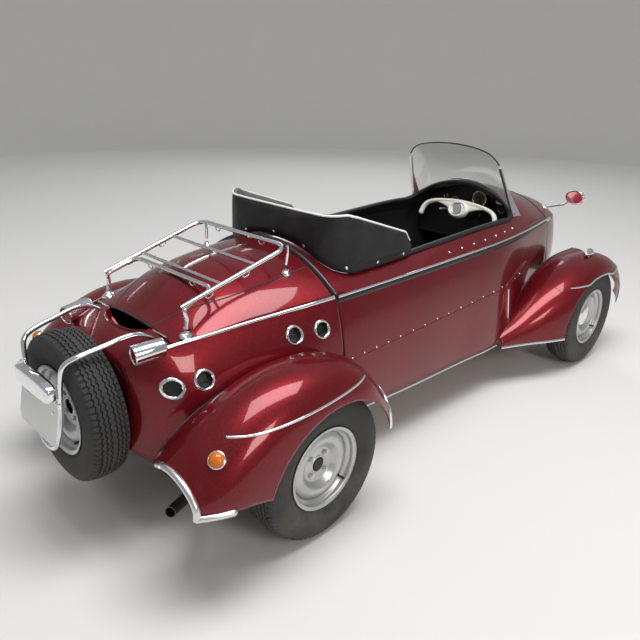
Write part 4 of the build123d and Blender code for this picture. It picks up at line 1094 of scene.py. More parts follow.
rear_crease = through(rear_sheet[4:-3:4, -1], 90)
front_crease = through(front_sheet[3:-3:4, -1], 110)
rear_line = through(level_line(rear_sheet, ((-1.215, 0.50), (-0.78, 0.525)), -1.215, -0.70)[::5], 70)
front_line = through(level_line(front_sheet, ((0.70, 0.44), (1.185, 0.462)), 0.80, 1.30)[::5], 70)
front_edge = rear_sheet[-1][:-4]
tail_edge = np.concatenate([rear_sheet[0][::-1][6:], rear_sheet[1:12, 0]])
tail_path, tail_size = thinned(through(tail_edge, 80), 0.012)
low_edge = front_sheet[:, 0]
low_edge = through(low_edge[(low_edge[:, 2] < 0.24) & (low_edge[:, 0] < 0.9)], 70)
for side, label in SIDES:
    flip = np.array([1.0, side, 1.0])
    for name, crease in (("rear", rear_crease), ("front", front_crease)):
        crease_up = np.broadcast_to(np.array([0, 0.5, 0.85]), crease.shape) * flip
        piping = carry(crease * flip, round_profile(0.0035, 8), up=crease_up)
        piece(name + "_fender_piping_" + label, [piping], "rubber_seal", "body")
    strip("rear_fender_strip_" + label, rear_line * flip, half_round(8, 4), side, 0.35)
    strip("front_fender_strip_" + label, front_line * flip, half_round(8, 4), side, 0.35)
    strip("rear_fender_front_bead_" + label, front_edge * flip, round_profile(0.0055, 10), side, 0.4)
    strip("rear_fender_tail_bead_" + label, tail_path * flip, round_profile(0.0105, 14), side, 0.2,
          "aluminium", scale=tail_size)
    strip("front_fender_low_bead_" + label, low_edge * flip, round_profile(0.007, 10), side, 0.2)
print("fender beads done")

# %% [markdown]
# ## The tail
# Behind the lid sits an air outlet, a crescent-shaped hole under the lid's rear lip. Through it
# one sees a pressed channel, so a curved trough goes under the hole. Round the tail come the
# tail lamps, the guard tube that also holds the number plate, and the plate's lamp.

# %% Outlet, painted shade in the holes, and rings
turn = np.linspace(-np.pi / 2, np.pi / 2, 61)
rim_x, rim_y = LID_REAR - (OUTLET_REACH - 1) * np.cos(turn), (OUTLET_HALF + 1) * np.sin(turn)
# The trough's rows: depth under the deck, and share of the hole that is left there
depth = np.array([0, 6, 20, 34, 44, 50])
left_over = np.array([1.0, 0.99, 0.96, 0.86, 0.6, 0.0])
narrowest = 0.55
outlet_edge = on_deck(rim_x, rim_y)
trough = np.stack([(LID_REAR + (rim_x[:, None] - LID_REAR) * left_over) * MM,
                   rim_y[:, None] * np.maximum(left_over, narrowest) * MM,
                   outlet_edge[:, 2:3] - depth * MM], axis=-1)
piece("outlet_trough", [flipped(trough)], "body_paint", "body", sharp=60)
bead_line = outlet_edge[6:-6] + [0, 0, 0.001]
piece("outlet_bead", [carry(bead_line, round_profile(0.004, 8))], "body_paint", "body")
# Painted shade: a flat black sheet under the outlet stands for the darkness deep inside the body.
shade_sheet_x = np.array([LID_REAR - 50, LID_REAR + 30])
painted_shade_sheet = stack(shade_sheet_x, np.array([[-110.0, 110], [-150, 150]]), np.full((2, 2), 612.0))
piece("outlet_painted_shade_sheet", [painted_shade_sheet], "black_trim", "body")

# Radius from the hole's middle, and how far it stands out of the flank
RING = ((23.5, -6), (23.5, 1.5), (25, 3.5), (28, 4.2), (31, 2.6), (32, 0), (32, -3))
# The black cup behind each hole is painted shade, standing for the dark inside of the body.
SHADE_CUP = ((27, -3.2), (26, -14), (20, -26), (0.01, -30))


def round_hole(profile, x, z, side):
    """Rings of a profile round a hole in the flank, each ring lying on the flank's own curve."""
    angle = np.linspace(0, 2 * np.pi, 49)
    columns = [on_flank(x + r * np.cos(angle), z + r * np.sin(angle), side, proud) for r, proud in profile]
    grid = np.stack(columns, axis=1)
    return flipped(grid) if side < 0 else grid


holes = [(x, z, side) for side in (-1, 1) for x, z in HOLES]
rings = piece("vent_ring_bright", [round_hole(RING, *hole) for hole in holes], "chrome", "body", sharp=60)
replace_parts(rings, "vent_rings")
piece("vent_painted_shade_cups", [flipped(round_hole(SHADE_CUP, *hole)) for hole in holes], "black_trim", "body")

# %% [markdown]
# ### Tail lamps and indicators
# A lamp is a turned profile again: a bright tube with a rolled rim, and a lens set back inside it.
# The lens is a dome with fine rings, which break up the light as moulded lenses do.

# %% Lamps at the back
TAIL_LAMP = [(3, 25.5), (-1.5, 26), (-4, 28.5), (-1, 30), (60, 30), (88, 29.5), (94, 24), (95, 0)]
INDICATOR = [(-3, 26), (3, 26), (7, 24), (8, 21), (4, 19.5)]


def seat_on(grid, x, y):
    """Nearest point of a grid to x and y, seen from above, and the sheet's outward direction there."""
    gap = (grid[..., 0] - x) ** 2 + (grid[..., 1] - y) ** 2
    i, j = np.unravel_index(np.argmin(gap), gap.shape)
    i, j = min(max(i, 1), grid.shape[0] - 2), min(max(j, 1), grid.shape[1] - 2)
    out = np.cross(grid[i, j + 1] - grid[i, j - 1], grid[i + 1, j] - grid[i - 1, j])
    return grid[i, j], unit(out if out[2] > 0 else -out)


tubes, tail_lenses, indicator_rims, indicator_lenses = [], [], [], []
seat, seat_out = seat_on(rear_sheet, -1.2541, 0.545)
for side in (1, -1):
    start, line = np.array([-1280.0, side * 208.0, 648.0]) * MM, unit([95, side * 17, 7])
    tubes.append(turned(rounded(TAIL_LAMP, 4), start, line, 64))
    r = np.linspace(0, 25.5, 26)
    dome = np.stack([2.0 - 5.0 * (1 - (r / 25.5) ** 2) + 0.35 * np.cos(r * 2.4), r], axis=-1)
    tail_lenses.append(turned(dome, start, line, 64))
    flip = np.array([1.0, side, 1.0])
    indicator_rims.append(turned(rounded(INDICATOR, 2), seat * flip, seat_out * flip, 48))
    r = np.linspace(20.5, 0, 22)
    dome = np.stack([4.0 + 15.0 * np.sqrt(1 - (r / 21.0) ** 2) + 0.3 * np.cos(r * 2.6), r], axis=-1)
    indicator_lenses.append(turned(dome, seat * flip, seat_out * flip, 48))
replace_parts(piece("tail_lamp_shells", tubes, "chrome", "body", sharp=55), "tail_lamps")
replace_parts(piece("tail_lamp_domes", tail_lenses, "red_lens", "body", sharp=80), "tail_lenses")
piece("indicator_rims", indicator_rims, "chrome", "body", sharp=60)
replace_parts(piece("indicator_domes", indicator_lenses, "amber_lens", "body", sharp=80), "rear_indicators")

# %% [markdown]
# ### Guard tube, number plate and its lamp
# The tube rises from two flattened feet on the deck, passes over the spare wheel and meets itself
# under the plate. Its upright turns from up to backwards where the tube itself runs up and down.
# The plate is blank. Its lamp is a bright hood, a rounded box whose section is a superellipse: a
# circle's formula with smaller powers, which fills out its corners.

# %% Guard tube, plate rim and lamp hood
GUARD = [(-1190, 158, 664), (-1222, 158, 680), (-1256, 157, 687), (-1330, 150, 677), (-1420, 136, 659),
         (-1446, 129, 645), (-1456, 122, 615), (-1461, 95, 480), (-1466, 62, 385), (-1470, 38, 350),
         (-1471, 0, 342)]
GUARD_COUNT = 260
guard_points = GUARD + [(x, -y, z) for x, y, z in GUARD[-2::-1]]
guard = through(np.array(guard_points) * MM, GUARD_COUNT)
unflattened = faded_ends(GUARD_COUNT, 9.0, 0)[:, None]
ring = round_profile(0.008, 14)
wide, tall = ring[:, 0] * (1.35 - 0.35 * unflattened), ring[:, 1] * (0.35 + 0.65 * unflattened)
ahead = heading(guard)
steep = np.clip((np.abs(ahead[:, 2:3]) - 0.5) / 0.4, 0, 1)
hint = (1 - steep) * np.array([0, 0, 1.0]) + steep * np.array([-1.0, 0, 0.2])
level_side = unit(np.cross(ahead, hint))
rise = np.cross(level_side, ahead)
tube = guard[:, None] + wide[..., None] * level_side[:, None] + tall[..., None] * rise[:, None]
tube = closed_ends(np.concatenate([tube, tube[:, :1]], axis=1), (guard[0], guard[-1]))
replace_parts(piece("guard_tube_bent", [tube], "chrome", "body", sharp=60), "guard_tube")
BOLT_HEAD = [(0, 6), (1, 7), (3, 7), (5.5, 4), (6, 0)]
foot_bolts = [turned(BOLT_HEAD, (-1.1985, s * 0.158, 0.6665), (0.05, 0, 1), 12) for s in (1, -1)]
piece("guard_foot_bolts", foot_bolts, "chrome", "body")


def superbox(centre, halves, power, tilt=0.0, turns=48, levels=25):
    """Closed rounded box: each axis is a sine or cosine squared up by a power, leaning by a tilt."""
    round_angle = np.linspace(0, 2 * np.pi, turns + 1)[:, None]
    up_angle = np.linspace(-np.pi / 2, np.pi / 2, levels)[None, :]
    x = halves[0] * blocky(np.cos(round_angle), power) * blocky(np.cos(up_angle), power)
    y = halves[1] * blocky(np.sin(round_angle), power) * blocky(np.cos(up_angle), power)
    z = halves[2] * blocky(np.sin(up_angle), power) * np.ones_like(round_angle)
    leaning = [x * math.cos(tilt) + z * math.sin(tilt), y, -x * math.sin(tilt) + z * math.cos(tilt)]
    return np.asarray(centre, float) + np.stack(leaning, axis=-1)


HOOD_MIDDLE, HOOD_HALVES = (-1.4835, 0, 0.559), (0.0185, 0.116, 0.031)
hood = superbox(HOOD_MIDDLE, HOOD_HALVES, 0.42, turns=72, levels=33)
over_middle = (hood[..., 2] - HOOD_MIDDLE[2]) / HOOD_HALVES[2]
hood[..., 1] *= 1 - 0.10 * np.clip(over_middle, 0, 1) ** 2
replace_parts(piece("plate_lamp_hood", [hood], "chrome", "body", sharp=80), "plate_lamp")

PLATE_TILT = math.radians(12)
plate_up = np.array([math.sin(PLATE_TILT), 0, math.cos(PLATE_TILT)])
plate_out = np.array([-math.cos(PLATE_TILT), 0, math.sin(PLATE_TILT)])
plate_middle = np.array([-1.4811, 0, 0.462])
angle = np.linspace(0, 2 * np.pi, 97)[:-1, None]
border = (plate_middle + 0.122 * blocky(np.cos(angle), 0.22) * np.array([0, 1.0, 0])
          + 0.062 * blocky(np.sin(angle), 0.22) * plate_up + 0.0035 * plate_out)
rim = carry(border, half_round(5, 2.2), up=plate_out, closed=True)
piece("plate_rim", [rim], "plate_white", "body")
SCREW_HEAD = [(3, 5), (5, 5), (6, 3.5), (6, 0)]
screw_seats = [plate_middle + np.array([0, y, 0]) + 0.030 * plate_up for y in (-0.085, 0.085)]
piece("plate_screws", [turned(SCREW_HEAD, seat, plate_out, 12) for seat in screw_seats], "chrome", "body")

# %% Luggage rack
def bent(points, reach):
    """Dense line of straight runs with softened corners through points in millimetres, in metres."""
    points = np.array(points, float)
    t = np.linspace(0, 1, 12)
    corners = [softened(*three, reach, t) for three in zip(points[:-2], points[1:-1], points[2:])]
    return np.concatenate([points[:1], *corners, points[-1:]]) * MM


def across_car(half):
    """Points from the left side to the middle, and the same on the right, in one line."""
    return half + [(x, -y, z) for x, y, z in half[::-1]]


rail = bent(across_car([(-1126, 223, 756), (-721, 237, 866)]), 52)
loop = bent(across_car([(-1116, 229, 690), (-1110, 227, 722), (-1118, 222, 750), (-1004, 217, 785)]), 42)
bars = [bent(across_car([end]), 1) for end in ((-850, 236, 831), (-980, 229, 796))]
front_posts = [bent([(-712, s * 226, 864), (-708, s * 222, 835), (-712, s * 219, 800)], 12) for s in (1, -1)]
grids = [carry(rail, round_profile(0.0078, 14)), carry(loop, round_profile(0.0072, 14), up=(0.02, 0, 1))]
grids += [carry(b, round_profile(0.0058, 12)) for b in bars]
grids += [carry(p, round_profile(0.0055, 12), up=(1, 0, 0)) for p in front_posts]
# A little hook hangs under each tube here: x, y, z, and 1 where its tube runs across the car
HOOK_SHAPE = [(0, 0), (3, -12), (14, -15), (24, -12), (27, 0)]
HOOKS = [(-905, 233, 813, 0), (-905, -233, 813, 0), (-1040, 226, 776, 0), (-1040, -226, 776, 0),
         (-721, 120, 862, 1), (-721, -120, 862, 1), (-1004, 120, 781, 1), (-1004, -120, 781, 1)]
RAIL_SLOPE = 0.27
for x, y, z, crosswise in HOOKS:
    points = [(x, y + u, z + v) if crosswise else (x + u, y, z + v + RAIL_SLOPE * u) for u, v in HOOK_SHAPE]
    grids.append(carry(through(np.array(points) * MM, 14), round_profile(0.0022, 8), up=(0.3, 0.3, 0.1)))
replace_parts(piece("rack_tubes", grids, "chrome", "engine_cover", sharp=60), "luggage_rack")
FOOT, FOOT_RADIUS = [(-5, 16.5), (2, 17), (7, 15), (11, 9), (20, 6.2)], 17.0
feet = []
# x, y and half length of each foot
for x, y, half_length in ((-712, 219, 17), (-712, -219, 17), (-1117, 229, 24), (-1117, -229, 24)):
    side = math.copysign(1, y)
    base = on_deck([x], [abs(y)])[0] * np.array([1, side, 1])
    dome = turned(rounded(FOOT, 4), base, unit([0.12, 0.25 * side, 1]), 28)
    feet.append(base + (dome - base) * np.array([half_length / FOOT_RADIUS, 1.0, 1.0]))
piece("rack_feet", feet, "chrome", "engine_cover", sharp=60)
print("tail and rack done")

# %% [markdown]
# ## Lid, seams and small fastenings
# A rubber seal runs over the car where the lid meets the canopy frame, a bright spine lies along
# the lid's crest, and a shallow groove on each side runs from the lid's rear corner up to the
# seal, drawn as a thin black line of painted shade. Rows of domed rivets and press studs are one
# small turned dome, set many times: the same grid is added at each place, so even fifty of them
# are one light mesh.

# %% Seal, spine and grooves
def cross_arc(x, share=1.0, proud=0.0, count=81):
    """Line over the deck across the car at one x, out to a share of the belt's half-width."""
    hull = hull_at(x)
    y = np.linspace(-share, share, count) * hull[0, 1]
    z = deck_height(hull, np.abs(y)[None])[0] + proud
    return np.stack([np.full_like(y, x), y, z], axis=-1) * MM


seal = carry(cross_arc(SEAM_REAR - 1, 0.995, 1.5), round_profile(0.0115, 16, 0.8), up=(1, 0, 0))
piece("seal_over_lid", [seal], "rubber_seal", "canopy")
z = spaced(690, 480, 10)
side_lines = [on_flank(np.full_like(z, SEAM_REAR), z, side, 0.6) for side in (1, -1)]
side_seals = [carry(line, round_profile(0.0035, 8), up=(1, 0, 0)) for line in side_lines]
piece("side_seam_seals", side_seals, "rubber_seal", "body")
cowl_arc = cross_arc(SEAM_FRONT - 2, 0.99, -0.5)
piece("cowl_seal", [carry(cowl_arc, round_profile(0.0028, 8), up=(1, 0, 0))], "rubber_seal", "body")

spine_x = spaced(-968, -700, 8)
spine = on_deck(spine_x, np.zeros_like(spine_x)) + [0, 0, 0.0005]
spine_grid = carry(spine, half_round(10, 5), scale=faded_ends(len(spine), 3.0, 0.25))
piece("lid_spine", [spine_grid], "chrome", "engine_cover")

# x, distance from the middle along each groove
GROOVE = [(-1168, 112), (-1100, 142), (-1030, 172), (-962, 198), (-850, 215), (-720, 222), (-612, 225)]
groove = on_deck(*through(np.array(GROOVE, float), 90).T)
# Painted shade: each groove is a thin black line on the deck standing for the shade in its hollow.
grooves = [carry(groove * [1, side, 1] - [0, 0, 0.0007], round_profile(0.0024, 8)) for side in (1, -1)]
piece("lid_groove_painted_shade", grooves, "black_trim", "engine_cover")
lip_y = np.linspace(-112, 112, 61)
lip = on_deck(np.full_like(lip_y, LID_REAR + 5), lip_y) - [0, 0, 0.001]
piece("lid_lip_rubber", [carry(lip, round_profile(0.0042, 10))], "rubber_seal", "engine_cover")

# %% Rivets, studs and the side swage
def domes(places, outs, radius, height, name, material, body, sides=12):
    """One small domed head at each place, its axis along the given direction."""
    shape = [(-1, radius), (0.2 * height, radius), (0.75 * height, 0.7 * radius), (height, 0)]
    heads = [turned(shape, place, unit(out), sides) for place, out in zip(places, outs)]
    return piece(name, heads, material, body, sharp=70)


RIVET_X = np.array([-560, -500, -435, -370, -300, -225, -150, -70, 10, 95, 180, 265, 350, 430, 505, 580,
                    650.0])
STUD_X = np.array([60, 150, 240, 330, 420, 505, 585.0])
# The rivet row climbs from the first height to the second between these x, its moulding 8 mm below
ROW_X, ROW_Z, MOULDING_DOWN = [-600, 700], np.array([470, 505]), 8
# x and height along the door's swage, and along the bright strip behind it
SWAGE = [(744, 542), (640, 530), (560, 512), (488, 490), (440, 420), (417, 354)]
DOOR_STRIP_X, DOOR_STRIP_Z = [500, 503, 512, 535, 560], [470, 440, 380, 300, 232]
for side, label in SIDES:
    places = on_flank(RIVET_X, np.interp(RIVET_X, ROW_X, ROW_Z), side)
    rivet_out = np.broadcast_to([0, side, 0.05], places.shape)
    domes(places, rivet_out, 3.6, 2.6, "side_rivets_" + label, "chrome", "body")
    moulding_x = spaced(-590, 690, 20)
    moulding = on_flank(moulding_x, np.interp(moulding_x, ROW_X, ROW_Z - MOULDING_DOWN), side, 0.2)
    strip("side_moulding_" + label, moulding, half_round(5, 1.6), side, 0.0, "body_paint")
    swage = on_flank(*through(np.array(SWAGE, float), 60).T, side, 0.3)
    strip("side_swage_" + label, swage, half_round(22, 4.5), side, 0.0, "body_paint",
          scale=faded_ends(60, 8.0, 0.15), sharp=80)
    door_strip = through(on_flank(DOOR_STRIP_X, DOOR_STRIP_Z, side, 0.4), 50)
    strip("door_strip_" + label, door_strip, half_round(6, 3), side, 0.0)
    stud_y = rows_at(HULL, STUD_X)[:, 1] - 22
    places = on_deck(STUD_X, stud_y) * [1, side, 1]
    stud_out = np.broadcast_to([0, 0.7 * side, 0.7], places.shape)
    domes(places, stud_out, 5.0, 4.5, "canopy_studs_" + label, "chrome", "canopy")
print("rivets a side:", len(RIVET_X), "studs a side:", len(STUD_X))

# %% [markdown]
# ## Cockpit shell
# Seen from above, the inside of the tub is black lining, not paint. It is the same flank grid set
# twelve millimetres inwards. A padded black coaming follows the edge of the hole, whose line is
# already known from the canopy panel.

# %% Lining and coaming
LINING_COUNTS, LINING_IN, LINING_FLOOR = (26, 8, 6), -12.0, 0.214


def lining_at(x):
    """The left flank again, set inwards, its floor lifted clear of the floor sheet."""
    grid = flank(x, counts=LINING_COUNTS, proud=LINING_IN)
    grid[..., 2] = np.maximum(grid[..., 2], LINING_FLOOR)
    return grid


lining = lining_at(spaced(SEAM_REAR + 6, SEAM_FRONT - 20, 14))
piece("tub_lining", both_sides([flipped(lining)]), "black_trim", "body")
walls = []
for x, faces_forward in ((SEAM_REAR + 8.0, True), (SEAM_FRONT - 24.0, False)):
    edge = lining_at(np.array([x]))[0]
    wall = np.stack([edge * [1, -1, 1], edge], axis=1)
    walls.append(wall if faces_forward else flipped(wall))
piece("tub_bulkheads", walls, "black_trim", "body")
under_x = corner_spaced(SEAM_REAR + 4, SEAM_FRONT - 6, 16)
under = deck(under_x, hole_half(under_x), 16, proud=-6.0)
piece("canopy_lining", both_sides([flipped(under)]), "black_trim", "canopy")

turn = np.linspace(0, np.pi / 2, 16)[1:]
corner_x, corner_y = COCKPIT_FRONT - COCKPIT_CORNER, COCKPIT_HALF - COCKPIT_CORNER
half_edge = [(x, COCKPIT_HALF) for x in spaced(-300, corner_x, 12)]
half_edge += [(corner_x + COCKPIT_CORNER * math.sin(a), corner_y + COCKPIT_CORNER * math.cos(a))
              for a in turn]
half_edge += [(COCKPIT_FRONT, y) for y in spaced(corner_y - 10, 0, 12)]
edge_left = on_deck(*np.array(half_edge).T)
edge_right = edge_left[::-1] * np.array([1, -1, 1])
edge_line = through(np.concatenate([edge_left, edge_right[1:]])[::2], 320)
coaming = carry(edge_line + [0, 0, 0.002], round_profile(0.013, 16, 0.75))
piece("cockpit_coaming", [coaming], "black_vinyl", "canopy")

# %% [markdown]
# ## Windscreen
# The pane is a bent sheet between two arcs: a low one that follows the scuttle and a high one at
# the top. A point on it is found by going along both arcs to the same share and then from one to the
# other. The top corners are rounded by lowering the top share near the ends with a high power.

# %% Pane, frame, brackets and wiper
def screen_arc(end, middle, share):
    """Points of an arc from one corner over the middle to the other, at shares from -1 to 1."""
    (x, half, z), (mx, mz) = end, middle
    length = math.hypot(x - mx, z - mz)
    radius = (half**2 + length**2) / (2 * length)
    y = share * half
    sag = radius - np.sqrt(radius**2 - y**2)
    return np.stack([mx + (x - mx) / length * sag, y, mz + (z - mz) / length * sag], axis=-1)


def screen_point(share, up):
    """The pane at shares across and up, both arrays."""
    low = screen_arc((656, 286, 765), (707, 872), share)
    high = screen_arc((529, 239, 1040), (537, 1074), share)
    return (low + (high - low) * up[..., None]) * MM


ROUNDING, ROUNDING_POWER = 0.14, 10
across = np.linspace(-1, 1, 97)[:, None] * np.ones((1, 41))
reach = 1 - ROUNDING * np.abs(across) ** ROUNDING_POWER
pane = screen_point(across, reach * np.linspace(0, 1, 41)[None, :])
glass_pane = piece("windscreen_pane", [pane], "glass", "canopy")
thicken(glass_pane, 0.0045, 0.0)
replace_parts(glass_pane, "windscreen_glass")
top_edge = carry(pane[:, -1], round_profile(0.0032, 8), up=(1, 0, 0))
piece("screen_top_edge", [top_edge], "rubber_seal", "canopy")
foot_rubber = carry(pane[:, 0] + [0.001, 0, 0.003], round_profile(0.009, 12, 1.3))
piece("screen_foot_rubber", [foot_rubber], "rubber_seal", "canopy")

POST_PROFILE = np.array([(-6, -5), (6, -5), (7, 0), (6, 5), (-6, 5), (-7, 0)]) * MM
# Width of a bracket plate at the foot and at its tip, its direction, and the lip that grips the pane
PLATE_WIDTH, PLATE_WAY, PLATE_GRIP = (62, 13), unit([0.80, 0, -0.10]), np.array([0.010, 0, 0])
posts, plates = [], []
for side in (-1, 1):
    column = pane[0 if side < 0 else -1]
    posts.append(carry(through(column[2:39:4], 60), POST_PROFILE, up=(1, 0, 0)))
    line = through(column[0:24:3], 30)
    width = np.linspace(*PLATE_WIDTH, len(line))[:, None] * MM
    outer, inner = (line + np.array([0.004, side * (dy + 0.001), 0]) for dy in (0.0045, 0.0015))
    edge = outer + width * PLATE_WAY
    ring = [outer - PLATE_GRIP, outer + [0, side * 0.002, 0], edge, edge - [0, side * 0.003, 0],
            inner, inner - PLATE_GRIP, outer - PLATE_GRIP]
    grid = closed_ends(np.stack(ring, axis=1))
    plates.append(flipped(grid) if side < 0 else grid)
piece("screen_posts", posts, "aluminium", "canopy", sharp=50)
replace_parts(piece("screen_bracket_plates", plates, "aluminium", "canopy"), "screen_brackets")

WIPER_UP, BLADE_PROFILE = (-1, 0, 0.3), np.array([(-1, -3), (1, -3), (1.5, 3), (-1.5, 3)]) * MM
blade = screen_point(np.linspace(-0.46, 0.30, 30), np.full(30, 0.10)) - [0.006, 0, 0]
arm = screen_point(np.linspace(0.34, -0.05, 24), np.linspace(0.02, 0.12, 24)) - [0.011, 0, 0]
arm[0] += [0.004, 0, -0.004]
blade_back = carry(blade + [-0.001, 0, 0.002], half_round(6, 4), up=WIPER_UP)
piece("wiper_arm", [carry(arm, half_round(6, 3), up=WIPER_UP), blade_back], "chrome", "canopy")
piece("wiper_blade", [carry(blade, BLADE_PROFILE, up=WIPER_UP)], "rubber_seal", "canopy")
print("pane:", pane.shape)

# %% [markdown]
# ## Mirror and front lamps
# The mirror is a shallow oval bowl on a bent stalk. The little side lamps are bullets, and the
# headlamps sit in the round ends of the inner lobes: a bright ring, a bowl, and a ribbed lens.

# %% Mirror, side lamps and headlamps
BOWL = [(-10, 0), (-10, 30), (-11, 35), (-8, 36.5), (2, 36), (10, 30), (16, 18), (18, 0)]
MIRROR_FOOT = [(-4, 15), (2, 15), (6, 11), (10, 6)]
stalk = bent([(1195, -176, 712), (1195, -235, 730), (1195, -290, 745), (1197, -312, 782)], 26)
bowl = turned(rounded(BOWL, 5), (0, 0, 0), unit([1.0, -0.10, 0.05]), 64)
bowl = bowl * np.array([1.0, 1.42, 1.0]) + np.array([1.193, -0.338, 0.790])
base = on_deck([1195.0], [178.0])[0] * np.array([1, -1, 1])
foot = turned(rounded(MIRROR_FOOT, 3), base, unit([0.1, -0.35, 1]), 32)
stalk_tube = carry(stalk, round_profile(0.0048, 12), up=(1, 0, 0))
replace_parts(piece("mirror_bowl", [bowl, foot, stalk_tube], "chrome", "body", sharp=50), "mirror")

BULLET = [(-40, 0), (-36, 7), (-22, 14.5), (0, 19), (14, 20), (17, 20), (18, 18.5), (14, 17.5)]
BULLET_FOOT = [(-26, 12), (-20, 10), (-8, 7.5), (2, 7)]
BULLET_GLASS = [(14, 17.5), (20, 16), (26, 10), (28.5, 4), (29, 0)]
NACELLE = [(-46, 0), (-45, 22), (-34, 46), (-14, 68), (-3, 78.5), (0, 79.5)]
LAMP_RING = [(-6, 80), (2, 81.5), (10, 80), (16, 75), (16, 71), (8, 70)]
FLUTE_HEIGHT, FLUTES_PER_METRE = 0.0007, 900
r = np.linspace(70, 0, 24)
lamp_bowl = np.stack([-34 + 42 * (r / 70) ** 2, r], axis=-1)
r = np.linspace(71, 0, 30)
lamp_lens = np.stack([11 + 20 * np.sqrt(1 - (r / 72) ** 2), r], axis=-1)
FORWARDS = (1, 0, 0)
bullets, bullet_glasses, lamp_rings, lamp_bowls, lamp_lenses, nacelles = [], [], [], [], [], []
for side in (1, -1):
    centre = np.array([1.050, side * 0.510, 0.560])
    bullets.append(turned(rounded(BULLET, 6), centre, FORWARDS, 36))
    bullets.append(turned(BULLET_FOOT, centre, (0, 0, 1), 20))
    bullet_glasses.append(turned(BULLET_GLASS, centre, FORWARDS, 36))
    centre = np.array([FRONT_AXLE + LAMP_FRONT, side * LOBE_Y, LAMP_HEIGHT]) * MM
    nacelles.append(turned(rounded(NACELLE, 8), centre, FORWARDS, 72))
    lamp_rings.append(turned(rounded(LAMP_RING, 4), centre, FORWARDS, 72))
    lamp_bowls.append(turned(lamp_bowl, centre, FORWARDS, 56))
    lens_grid = turned(lamp_lens, centre, FORWARDS, 96)
    lens_grid[..., 0] += FLUTE_HEIGHT * np.cos(lens_grid[..., 1] * FLUTES_PER_METRE)
    lamp_lenses.append(lens_grid)
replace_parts(piece("side_lamp_bullets", bullets, "chrome", "body", sharp=60), "side_lamps")
piece("side_lamp_glasses", bullet_glasses, "lamp_glass", "body", sharp=70)
piece("headlamp_nacelles", nacelles, "body_paint", "body")
piece("headlamp_rings", lamp_rings, "chrome", "body", sharp=60)
piece("headlamp_bowls", lamp_bowls, "chrome", "body")
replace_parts(piece("headlamp_lenses", lamp_lenses, "lamp_glass", "body", sharp=80), "headlamps")
print("lamps and mirror done")
# %% [markdown]
# ## Yoke and instruments
# The car is steered by a moulded yoke, not by a wheel. It has three parts that flow into one
# another: a drooping bar, a boss, and a web on each side between them. The bar is an oval carried
# along the bar's line. The web is a stack of flat ovals whose height follows the gap between two
# curves. A block with a bevel would be quicker, but a moulding has no flat faces.

# %% Steering yoke
YOKE_HUB = np.array([0.645, 0, 0.750])
YOKE_UP, YOKE_AXIS = unit([0.4226, 0, 0.9063]), unit([0.9063, 0, -0.4226])


def on_yoke(across, up, along=0.0):
    """Places on the yoke from millimetres across it, up its plane and forwards along the column."""
    across, up, along = (v[..., None] for v in np.broadcast_arrays(np.asarray(across, float), up, along))
    return YOKE_HUB + (across * np.array([0, 1.0, 0]) + up * YOKE_UP + along * YOKE_AXIS) * MM


def blunt(path, tip, count=8):
    """The path with closer points near its ends, and the sizes that round both ends off."""
    run = knots_of(path)
    head = tip * (1 - np.cos(np.linspace(0, np.pi / 2, count)))
    at = np.concatenate([head, run[(run > tip) & (run < run[-1] - tip)], run[-1] - head[::-1]])
    near = np.clip(np.minimum(at, run[-1] - at) / tip, 0, 1)
    size = np.sqrt(np.clip(1 - (1 - near) ** 2, 1e-4, 1))
    return np.stack([np.interp(at, run, path[:, i]) for i in range(3)], axis=-1), size


bar_line = through([(-212, -62), (-198, -6), (-116, 28), (116, 28), (198, -6), (212, -62)], 150)
bar_path, bar_size = blunt(on_yoke(bar_line[:, 0], bar_line[:, 1]), 0.010)
grip = 1.0 + 0.20 * np.clip(np.abs(bar_path[:, 1]) / 0.2, 0, 1) ** 4
handlebar = carry(bar_path, round_profile(0.0098, 20, 1.2), up=YOKE_AXIS, scale=bar_size * grip)

# Profiles as (forwards along the column, radius)
BOSS = [(-19, 0), (-19, 30), (-23, 32), (-24, 36), (-14, 43), (0, 44), (11, 36), (17.5, 25), (17.5, 0)]
DISC_FACE = [(-18, 30.5), (-23.5, 30), (-25.5, 28), (-24.5, 26), (-23, 25), (-23.6, 12), (-23.8, 0)]
SHROUD = [(19, 0), (19, 21), (23, 25), (58, 25), (66, 19), (72, 17.4), (330, 17.4), (330, 0)]
boss_middle = on_yoke(0, -3)
boss = turned(rounded(BOSS, 4), (0, 0, 0), YOKE_AXIS, 72) * np.array([1.0, 1.30, 1.0]) + boss_middle

# The web runs from the boss to near the bar's bend, and its lower edge rises towards the bar
WEB_START, WEB_END, WEB_DEPTH = 30, 158, 52
y = np.linspace(WEB_START, WEB_END, 30)
bar_height = np.interp(y, bar_line[:, 0], bar_line[:, 1])
low = bar_height - 5 - WEB_DEPTH * (1 - (y - WEB_START) / (WEB_END - WEB_START)) ** 1.5
high = bar_height + 2
turn = np.linspace(0, 2 * np.pi, 33)
up = (high + low)[:, None] / 2 + (high - low)[:, None] / 2 * blocky(np.cos(turn), 0.7)
along = np.linspace(9.5, 6.5, 30)[:, None] * blocky(np.sin(turn), 0.7) - 1
webs = [closed_ends(on_yoke(side * y[:, None] * np.ones_like(up), up, along)) for side in (-1, 1)]
yoke = piece("yoke_moulding", [handlebar, boss, webs[0], flipped(webs[1])], "ivory", "yoke", sharp=60)
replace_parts(yoke, "steering_yoke")
centre_disc = flipped(turned(rounded(DISC_FACE, 3), boss_middle, YOKE_AXIS, 56))
piece("yoke_centre_disc", [centre_disc], "aluminium", "yoke", sharp=50)

